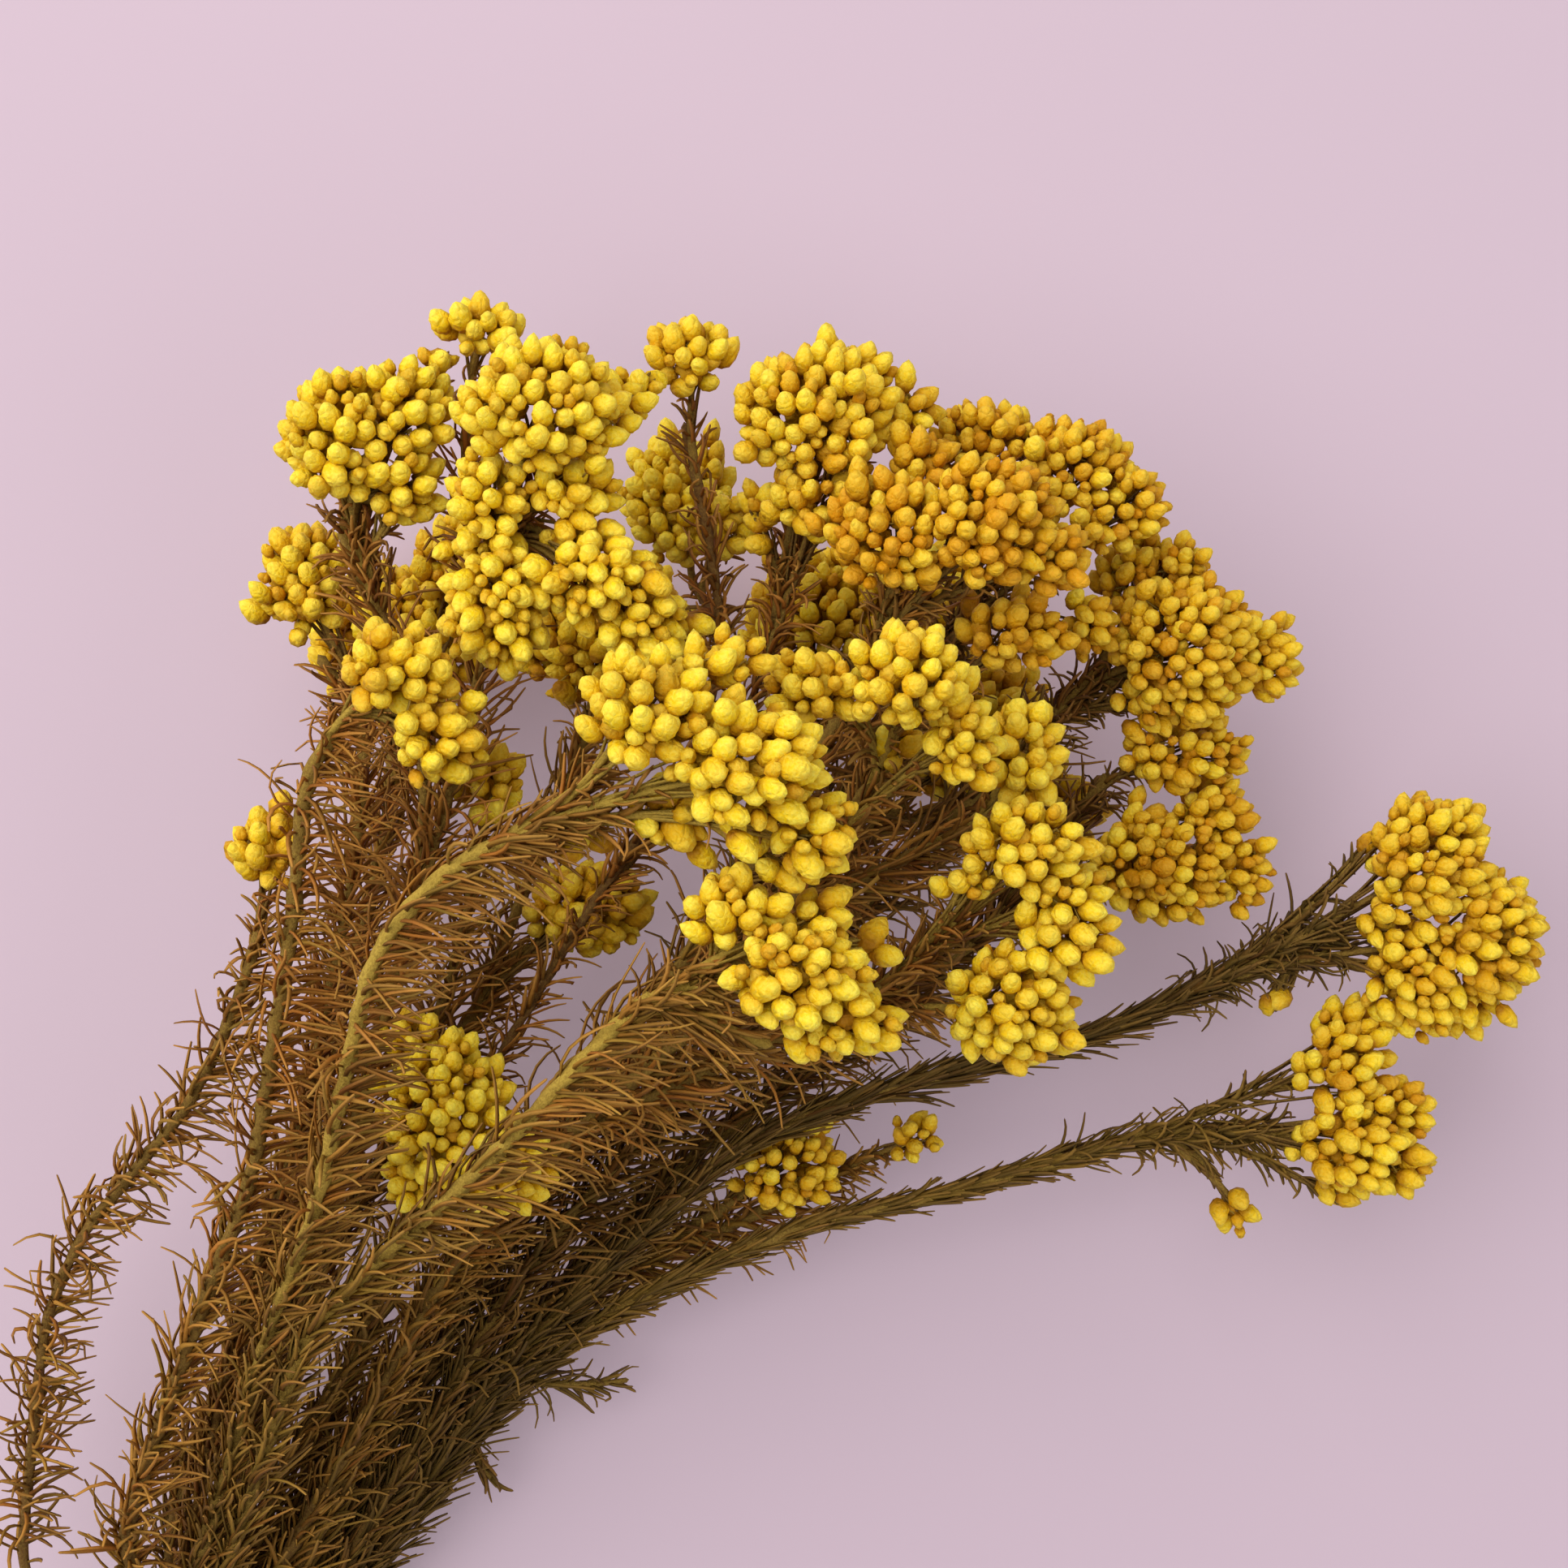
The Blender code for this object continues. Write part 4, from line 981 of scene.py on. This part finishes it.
class Packing:
    """Balls that keep a distance from one another, found through a grid of cells."""

    def __init__(self):
        self.cells = {}

    def takes(self, centre, radius, closeness):
        """Keeps the ball and says True, where no kept ball is too near."""
        x, y, z = (int(v // CELL) for v in centre)
        for i in (x - 1, x, x + 1):
            for j in (y - 1, y, y + 1):
                for k in (z - 1, z, z + 1):
                    for other, far in self.cells.get((i, j, k), ()):
                        if math.dist(centre, other) < closeness * (radius + far):
                            return False
        self.cells.setdefault((x, y, z), []).append((centre, radius))
        return True


def spread_out(ways, half, gap, rounds):
    """Ways to places on a dome that push their neighbours off until they are a gap apart."""
    for _ in range(rounds):
        points = ways * half
        apart = points[:, None] - points[None]
        distance = np.linalg.norm(apart, axis=2) + gap * np.eye(len(points))
        push = np.maximum(gap - distance, 0) / distance
        ways = unit((points + PUSH * (apart * push[..., None]).sum(1)) / half)
    return ways


def within(points, level, but=None):
    """Which points lie deeper than this level in a dome, where 1 is its surface."""
    inside = np.zeros(len(points), bool)
    for domes in DOMES.values():
        for dome in domes:
            if dome is not but:
                inside |= (((points - dome["centre"]) / dome["half"]) ** 2).sum(1) < level**2
    return inside


# %% Widths and layers of the buds
BUD_WIDTH = 3.1
# Widths of the buds of some stems' heads, where they differ, and how far each bud strays.
BUD_WIDTHS = {"a": 3.35, "b": 3.3, "e": 2.95, "f": 2.85, "g": 2.65, "h": 2.6, "i": 2.7, "j": 2.9, "k": 2.9,
              "o": 2.8, "p": 2.5}
WIDTH_STRAY = 0.07
# Layers of a dome: depth below its surface, width against a full bud, how much of the surface it
# tries to cover, how near two buds may come, rounds of pushing apart, and its grain.
LAYERS = (
    (0.4, 1.0, 1.0, 0.81, 16, "full"),
    (1.1, 0.88, 3.0, 0.82, 0, "full"),
    (2.2, 1.0, 1.0, 0.66, 8, "hidden"),
    (4.2, 1.0, 0.8, 0.66, 8, "hidden"),
    (1.2, 0.62, 2.0, 0.80, 0, "hidden"),
)
print(len(LAYERS), "layers of buds on each dome")

# %% Places for the buds
# Buds touch this share of their width below their tips, on a shell of at least this half size.
TOUCH_DEPTH = 0.3
LEAST_TOUCHING = 2.0
# Buds whose tip would lie deeper than this level in another dome are left out.
HIDDEN_LEVEL = 0.76
DEPTH_STRAY = 0.5
# The surface sinks away from a clump's middle, until this many times the way to its edge.
VALLEY_EDGE = 1.3
# Some buds stand proud of their layer by so many mm, and a few outer ones stray past the dome.
PROUD_SHARE = 0.16
PROUD_REACHES = (0.4, 1.3)
STRAY_SHARE = 0.02
STRAY_REACHES = (1.0, 1.8)
# How much a bud's axis follows the dome's surface, its clump's fan, its stem and chance.
OUTWARD = 0.45
FANNED = 0.6
GROWING = 0.75
OWN_WAY = 0.2
# A bud's middle stays this share of its width above the clearance from the floor.
LYING = 0.6


def bud_places(dome, width, layer, packing, dice):
    """(base points, axes, widths, clump numbers) of one layer of buds of one dome."""
    depth, share, cover, closeness, rounds, _ = layer
    half, centre = dome["half"], dome["centre"]
    size = width * share
    touching = np.maximum(half - depth - TOUCH_DEPTH * size, LEAST_TOUCHING)
    area = 4 * math.pi * (touching * touching[[1, 2, 0]]).sum() / 3
    count = round(cover * area / (math.pi / 4 * size**2))
    ways = spread_out(unit(dice.normal(size=(count, 3))), touching, size, rounds)
    nearness = ways @ dome["clumps"].T
    clump = nearness.argmax(1)
    away = np.arccos(np.clip(nearness.max(1), -1, 1)) * math.sqrt(len(dome["clumps"])) / 2
    valley = VALLEY_DEPTH * dome["scale"] * np.minimum(away, VALLEY_EDGE) ** 2
    deep = depth + dice.uniform(0, DEPTH_STRAY, count) + valley
    proud = dice.random(count) < PROUD_SHARE
    deep[proud] -= dice.uniform(*PROUD_REACHES, count)[proud]
    stray = dice.random(count) < STRAY_SHARE * (depth == LAYERS[0][0])
    deep[stray] = -dice.uniform(*STRAY_REACHES, count)[stray]
    shell = np.maximum(half - deep[:, None], LEAST_SHELL)
    tips = centre + shell * ways
    fan = unit(tips - dome["roots"][clump])
    own_ways = dice.normal(0, OWN_WAY, (count, 3))
    axes = unit(unit(ways / shell) * OUTWARD + fan * FANNED + dome["growth"] * GROWING + own_ways)
    widths = size * np.exp(dice.normal(0, WIDTH_STRAY, count))
    half_buds = axes * widths[:, None] * BUD_LENGTH / 2
    middles = tips - half_buds
    middles[:, 2] = np.maximum(middles[:, 2], widths * LYING + FLOOR_CLEARANCE)
    seen = grown_sides(dome, ways) & ~within(tips, HIDDEN_LEVEL, dome) & (dice.random(count) < dome["loose"])
    kept = [i for i in np.flatnonzero(seen) if packing.takes(tuple(middles[i]), widths[i] / 2, closeness)]
    return [part[kept] for part in (middles - half_buds, axes, widths, clump)]


# %% All buds in their places
packing = Packing()
dice = np.random.default_rng(SEED)
BUD_PLACES = {}
for layer in LAYERS:
    for head, domes in DOMES.items():
        for number, dome in enumerate(domes):
            place = bud_places(dome, BUD_WIDTHS.get(head[0], BUD_WIDTH), layer, packing, dice)
            BUD_PLACES.setdefault(head, []).append((number, layer, *place))
    print(sum(len(place[2]) for places in BUD_PLACES.values() for place in places), "buds so far")

# %% [markdown]
# ## The buds of each head
#
# The heads differ in colour, from lemon at the front to orange in the middle of the bunch, and
# every bud strays a little from its head's hue. The orange of the heads deep in the bunch, and of
# the buds hidden behind others, is partly painted shade. Each bud could be an object of its own,
# but thousands of objects would be slow. So all buds of a head become one mesh, which stands for
# the plain solid of that head.

# %% Bud pieces
# The hue of each stem's or head's buds, from lemon (0) to orange (1): partly their own colour, and
# partly painted shade, more orange on the heads that lie in the shade deep in the bunch.
BUD_HUES_AND_SHADE = {"a": 0.1, "b": 0.1, "c": 0.2, "d": 0.0, "e": 0.35, "e3": 0.0, "f": 0.75, "g": 0.55, "h": 0.55,
            "i": 0.55, "j": 0.40, "k": 0.40, "o": 0.1, "p": 0.45}
USUAL_BUD_HUE = 0.35
BUD_HUE_STRAY = 0.2
# Buds of the hidden layers are painted more orange and darker, as painted shade.
HIDDEN_SHADE_HUE = 0.35
# How much painted shade darkens a bud for each mm of its layer's depth, and at the most.
DEPTH_SHADE = 0.17
MOST_DEPTH_SHADE = 0.6

for head, places in BUD_PLACES.items():
    growth = Growth("buds_" + head)
    for number, layer, bases, axes, widths, clump in places:
        depth, grain = layer[0], layer[-1]
        kinds = dice.integers(0, BUD_KINDS, len(bases))
        hue = BUD_HUES_AND_SHADE.get(head, BUD_HUES_AND_SHADE.get(head[0], USUAL_BUD_HUE))
        hues = np.clip(hue + dice.normal(0, BUD_HUE_STRAY, len(bases)), 0, 1)
        # Hidden buds turn more orange: painted shade.
        hues += HIDDEN_SHADE_HUE * (grain == "hidden")
        spins = dice.uniform(0, 2 * math.pi, len(bases))
        for kind, (template, along) in enumerate(BUDS[grain]):
            mine = kinds == kind
            buds = turned(template, axes[mine], spins[mine], widths[mine], bases[mine])
            buds[..., 2] = np.maximum(buds[..., 2], 0.0)
            # The number deep darkens the buds of the deeper layers: painted shade.
            growth.add(buds, *BUD_GRIDS[grain], hue=hues[mine, None], along=along[None],
                       deep=min(depth * DEPTH_SHADE, MOST_DEPTH_SHADE))
    growth.piece(papery, "papery_yellow", "head_" + head)
print("triangles so far:", Growth.total)

# %% [markdown]
# ## Woolly stems, ribs and bud stalks
#
# A stem is woody and brown below, woolly and olive yellow near its tip. From its last
# centimetres a branch goes to each dome, and thin ribs leave the branch one after another,
# one to each clump, like the ribs of an umbrella. From the clump's root, thinner stalks go to
# the buds. Branches and ribs are curves with three points each: where they start, a point
# ahead of it, and where they end.

# %% Branches, ribs and stalks
RIB_RINGS = 6
RIB_RADII = np.linspace(0.36, 0.22, RIB_RINGS)
# How far from its start a rib's middle lies ahead, as a share of its reach, and strays in mm.
RIB_LEAD = 0.4
RIB_STRAY = 0.9
BRANCH_RINGS = 9
BRANCH_RADII = np.linspace(0.75, 0.4, BRANCH_RINGS)
BRANCH_LEAD = 0.5
# The length in mm of a run's end, and the most of a run, from which branches leave.
BRANCH_SPREAD = 14.0
BRANCH_SPREADS = {"j": 26.0, "k": 28.0, "a": 18.0, "b": 18.0}
MOST_SPREAD = 0.4
# How far below a dome's centre its branch ends, as a share of the dome's least half size.
BRANCH_END = 0.6
STALK_RADIUS = 0.17
# How far a stalk goes into its bud, as a share of the bud's width.
STALK_DEPTH = 0.12


def arcs(starts, middles, ends, rings):
    """Curves (1-t)^2 start + 2 t (1-t) middle + t^2 end."""
    t = np.linspace(0, 1, rings)[None, :, None]
    return (1 - t) ** 2 * starts[:, None] + 2 * t * (1 - t) * middles[:, None] + t**2 * ends[:, None]


def side_arcs(path, index, ends, lead, rings, stray=0.0):
    """Curves to the ends that leave a path at these points of it and first go ahead along it."""
    starts = path[index]
    forward = unit(path[index + 1] - path[index - 1])
    reach = np.linalg.norm(ends - starts, axis=1, keepdims=True)
    return arcs(starts, starts + forward * reach * lead + stray, ends, rings)


def branch_paths(head, dice):
    """One branch to the underside of each dome, from a place near the end of the head's run."""
    path = RUNS[head[0]][HEADS[head][0]][0]
    centres = np.stack([dome["centre"] for dome in DOMES[head]])
    depths = np.array([dome["half"].min() for dome in DOMES[head]])[:, None]
    spread = min(BRANCH_SPREADS.get(head[0], BRANCH_SPREAD), len(path) * PATH_STEP * MOST_SPREAD)
    back = dice.uniform(0, spread, len(centres)) / PATH_STEP
    index = np.maximum(len(path) - 2 - back.astype(int), 1)
    ends = centres - unit(centres - path[index]) * depths * BRANCH_END
    return side_arcs(path, index, ends, BRANCH_LEAD, BRANCH_RINGS)


def rib_paths(head, branches, dice):
    """Ribs from places along each branch to the roots of its dome's open clumps."""
    paths = []
    for branch, dome in zip(branches, DOMES[head]):
        ends = dome["roots"][grown_sides(dome, dome["clumps"])]
        index = dice.integers(2, BRANCH_RINGS - 1, len(ends))
        stray = dice.normal(0, RIB_STRAY, ends.shape)
        paths.append(side_arcs(branch, index, ends, RIB_LEAD, RIB_RINGS, stray))
    return np.concatenate(paths)


def stalk_paths(dome, bases, axes, widths, clump):
    """Straight stalks from a clump's root to just inside the base of each of its buds."""
    ends = bases + axes * widths[:, None] * STALK_DEPTH
    return np.stack([dome["roots"][clump], ends], 1)


# %% The woolly finish
wool = Finish("woolly_stems", roughness=0.9, specular=0.2)
wood_hue = wool.said("hue")
wood_cut = wool.said("cut")
wood_blotch = wool.noise(2.2)
wood_fibre = wool.noise(0.4, detail=4.0, roughness=0.7)
bark = wool.mix(wood_blotch, (0.09, 0.038, 0.012), (0.20, 0.095, 0.025))
fleece = wool.mix(wood_fibre, (0.22, 0.13, 0.012), (0.72, 0.50, 0.085))
covered = wool.mix((wood_hue * 1.3 + (wood_fibre - 0.55) * 0.9).held(), bark, fleece)
wool.paint(wool.mix((wood_cut * 1.6).held(), covered, (0.62, 0.47, 0.27)))
wool.relief(wood_fibre + wood_blotch * 0.5, 0.35)
print("nodes in the woolly finish:", len(wool.nodes))

# %% The skin of a stem
STEM_SIDES = 7
# Old leaf bases swell the stem in a spiral of this pitch in mm, less below the leaves.
LEAF_BASE_PITCH = 11.0
LEAF_BASE_RELIEF = 0.18
BARE_RELIEF = 0.2
BARK_STRAY = 0.06


def stem_relief(path, dice):
    """Swelling of a stem's radius: 1 + relief * leafy * cos(2 (angle - 2 pi run / pitch)) + chance."""
    angle = 2 * np.pi * np.arange(STEM_SIDES) / STEM_SIDES
    twist = angle[None] - 2 * np.pi * PATH_STEP / LEAF_BASE_PITCH * np.arange(len(path))[:, None]
    leafy = np.clip((along_of(path) - LEAFY_FROM_ALONG) / LEAFY_FADE, BARE_RELIEF, 1)[:, None]
    return 1 + LEAF_BASE_RELIEF * leafy * np.cos(2 * twist) + dice.normal(0, BARK_STRAY, twist.shape)


# %% The wood of each stem
RIB_SIDES = 3
BRANCH_SIDES = 5
# How woolly the stems are, from bark (0) to fleece (1). They lose wool down to OLD_FROM_ALONG.
WOOD_HUES = {"a": 0.8, "b": 0.8, "m": 0.4, "l": 0.35, "e": 0.1, "j": 0.3, "k": 0.4}
USUAL_WOOD_HUE = 0.35
OLD_FROM_ALONG = -128.0
OLD_FADE = 90.0
OLD_WOOL = 0.45
# The same for ribs, bud stalks, and branches against the ribs.
RIB_HUES = {"a": 0.85, "b": 0.85, "c": 0.6, "m": 0.6, "d": 0.35}
USUAL_RIB_HUE = 0.2
STALK_HUE = 0.9
BRANCH_WOOL = 0.15
# Short side shoots low on some stems.
SHOOTS = {
    "k": [(-38, -86, 13), (-31, -88, 11), (-23, -87, 9)],
    "i": [(-47, -92, 12), (-45, -99, 9), (-42, -103, 7)],
}
BRANCHES = {name: [] for name in STEMS}

for name, runs in RUNS.items():
    dice = np.random.default_rng([SEED, ord(name)])
    rib_hue = RIB_HUES.get(name, USUAL_RIB_HUE)
    wood = Growth("wood_" + name)
    for number, (path, radii) in enumerate(runs):
        young = np.clip((along_of(path) - OLD_FROM_ALONG) / OLD_FADE, 0, 1)
        age = WOOD_HUES.get(name, USUAL_WOOD_HUE) * (OLD_WOOL + (1 - OLD_WOOL) * young)
        hue = np.concatenate([[age[0]], np.repeat(age, STEM_SIDES), [age[-1]]])
        # Only the first point of a stem's own run lies in the cut end.
        cut = np.arange(len(hue)) + number == 0
        wood.tube(path[None], radii, STEM_SIDES, share=2.0, relief=stem_relief(path, dice)[None],
                  hue=hue, cut=cut)
    if name in SHOOTS:
        BRANCHES[name] += list(arcs(*np.array(SHOOTS[name], float)[:, None], BRANCH_RINGS))
    for head in [head for head in HEADS if head[0] == name]:
        branches = branch_paths(head, dice)
        BRANCHES[name] += list(branches)
        wood.tube(rib_paths(head, branches, dice), RIB_RADII, RIB_SIDES, hue=rib_hue, cut=0)
        for number, layer, *place in BUD_PLACES[head]:
            if layer[-1] == "full":
                stalks = stalk_paths(DOMES[head][number], *place)
                wood.tube(stalks, STALK_RADIUS, RIB_SIDES, share=0.5, hue=STALK_HUE, cut=0)
    wood.tube(np.stack(BRANCHES[name]), BRANCH_RADII, BRANCH_SIDES, hue=rib_hue + BRANCH_WOOL, cut=0)
    wood.piece(wool, "woolly_brown", "stem_" + name)
print("triangles so far:", Growth.total)

# %% [markdown]
# ## The needles of each stem
#
# The needles grow on a stem, on its forks and, shorter, on the branches under its heads. They
# become one piece, apart from the wood because their finish is another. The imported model's few
# needles belong to the stem's solid, which its wood already stands for, so this piece replaces
# no solid.

# %% Needles of each stem
needle_count = 0
for name, runs in RUNS.items():
    dice = np.random.default_rng([SEED, ord(name), 1])
    growth = Growth("needles_" + name)
    habit = {**USUAL_HABIT, **HABITS.get(name, {})}
    grown = [(path, radii, habit) for path, radii in runs]
    grown += [(path, BRANCH_RADII, {**habit, **BRANCH_HABIT}) for path in BRANCHES[name]]
    for path, radii, habit in grown:
        paths, widths, side, hues, light = needles_on(path, radii, habit, dice)
        share = np.concatenate([[0], np.repeat(np.linspace(0, 1, NEEDLE_RINGS), NEEDLE_SIDES), [1]])
        growth.tube(paths, widths, NEEDLE_SIDES, len(paths), NEEDLE_FLATNESS, side[:, None],
                    hue=hues[:, None], along=share, light=light[:, None])
        needle_count += len(paths)
    growth.piece(needle, "woolly_brown")
print(needle_count, "needles; triangles so far:", Growth.total)

# %% [markdown]
# ## The twine
#
# Three rounds of jute twine hold the stems. A twine is two or three strands twisted together,
# so its section isn't round: the radius swells three times round the section, and the swelling
# turns along the twine. The path is a coil round the flattened bundle that starts and ends
# underneath. Two turns across the rounds cinch it on top, and their cut tails lie along the
# stems.

# %% Twine
TWINE_TURNS = 3
TWINE_STEPS = 110
TWINE_SIDES = 18
TWINE_HALF_WIDTH = 1.3
TWINE_FLATNESS = 0.5
TWIST_LENGTH = 3.6
GROOVE_DEPTH = 0.2
STRANDS = 3
# The coil: how far it takes along the bunch, its lowest level and its half width across, how
# flat and how square it is, and its gap above the stems.
TIE_WIDTH = 9.0
TIE_THICKNESS = 1.3
TIE_HALF_WIDTH = 12.85
TIE_FLATNESS = 1.04
TIE_SQUARENESS = 0.55
STEM_GAP = 0.35
# The knot with its two tails: how far along from the tie's middle, how far across,
# and the height above the middle of the rounds on top.
KNOT = [
    (-14, -5.2, -0.35), (-10, -4.4, -0.3), (-6.8, -2.6, -0.2), (-5.3, -1.2, 0.4), (-4.0, -0.9, 1.4),
    (0, -0.8, 1.6), (4.0, -0.7, 1.4), (5.7, -0.6, 0.2), (4.8, -0.3, -1.1), (0, 0, -1.3),
    (-4.8, 0.3, -1.1), (-5.7, 0.6, 0.2), (-4.0, 0.7, 1.4), (0, 0.8, 1.6), (4.0, 0.9, 1.4),
    (5.3, 1.2, 0.4), (6.8, 2.2, -0.2), (10, 3.6, -0.3), (16, 4.4, -0.35),
]
KNOT_STEP = 0.6
KNOT_HALF_WIDTH = 0.85
KNOT_FLATNESS = 0.8


def twisted(path):
    """How the section of a twine swells along a path: 1 - depth (1 - |cos(phase / 2)|).

    phase = strands * angle round the section - 2 pi * run / length of one twist.
    """
    turn = 2 * np.pi * np.arange(TWINE_SIDES) / TWINE_SIDES
    phase = STRANDS * turn[None] - 2 * np.pi * distances(path)[:, None] / TWIST_LENGTH
    return 1 - GROOVE_DEPTH * (1 - np.abs(np.cos(phase / 2)))


# %% The coil, the knot and their piece
steps = TWINE_TURNS * TWINE_STEPS
angle = np.linspace(-0.5 * np.pi, (2 * TWINE_TURNS - 0.5) * np.pi, steps)
cos, sin = np.cos(angle), np.sin(angle)
low, high = TIE_THICKNESS, ROW_HEIGHTS["top"] + STEM_RADIUS + STEM_GAP
level = np.sign(sin) * np.minimum(1, TIE_FLATNESS * np.abs(sin) ** TIE_SQUARENESS)
thick = TWINE_HALF_WIDTH * TWINE_FLATNESS
lift = np.where(np.abs(level) == 1, np.sign(sin), sin) * thick
across = TIE_HALF_WIDTH * np.sign(cos) * np.abs(cos) ** TIE_SQUARENESS + cos * thick
coil_reach = TIE_WIDTH / 2 - TWINE_HALF_WIDTH
coil = TIE_ALONG + np.linspace(-coil_reach, coil_reach, steps)
route = on_plan(coil, across, (low + high) / 2 + (high - low) / 2 * level + lift)
knot_along, knot_across, knot_height = np.array(KNOT).T
knot = eased(on_plan(TIE_ALONG + knot_along, knot_across, high + thick + knot_height), KNOT_STEP)
twine = Growth("twine")
for path, half_width, flatness, width_way in (
    (route, TWINE_HALF_WIDTH, TWINE_FLATNESS, [COS, SIN, 0.0]),
    (knot, KNOT_HALF_WIDTH, KNOT_FLATNESS, [SIN, -COS, 0.0]),
):
    body = tubes(path[None], half_width, TWINE_SIDES, flatness, np.array(width_way), twisted(path)[None])
    body[..., 2] = np.maximum(body[..., 2], 0.0)
    twine.add(body, len(path), TWINE_SIDES)
jute = Finish("jute_twine", roughness=0.9)
jute_fibre = jute.noise(0.5, detail=5.0, roughness=0.7)
jute.paint(jute.mix(jute_fibre, (0.30, 0.20, 0.10), (0.62, 0.46, 0.27)))
jute.relief(jute_fibre, 0.25)
twine.piece(jute, "jute", "twine_tie")
print("twine of", round(distances(route)[-1]), "mm, and", round(distances(knot)[-1]), "mm in its knot")

# %% Finish
print("triangles in all:", Growth.total, "and in the largest piece:", Growth.largest)
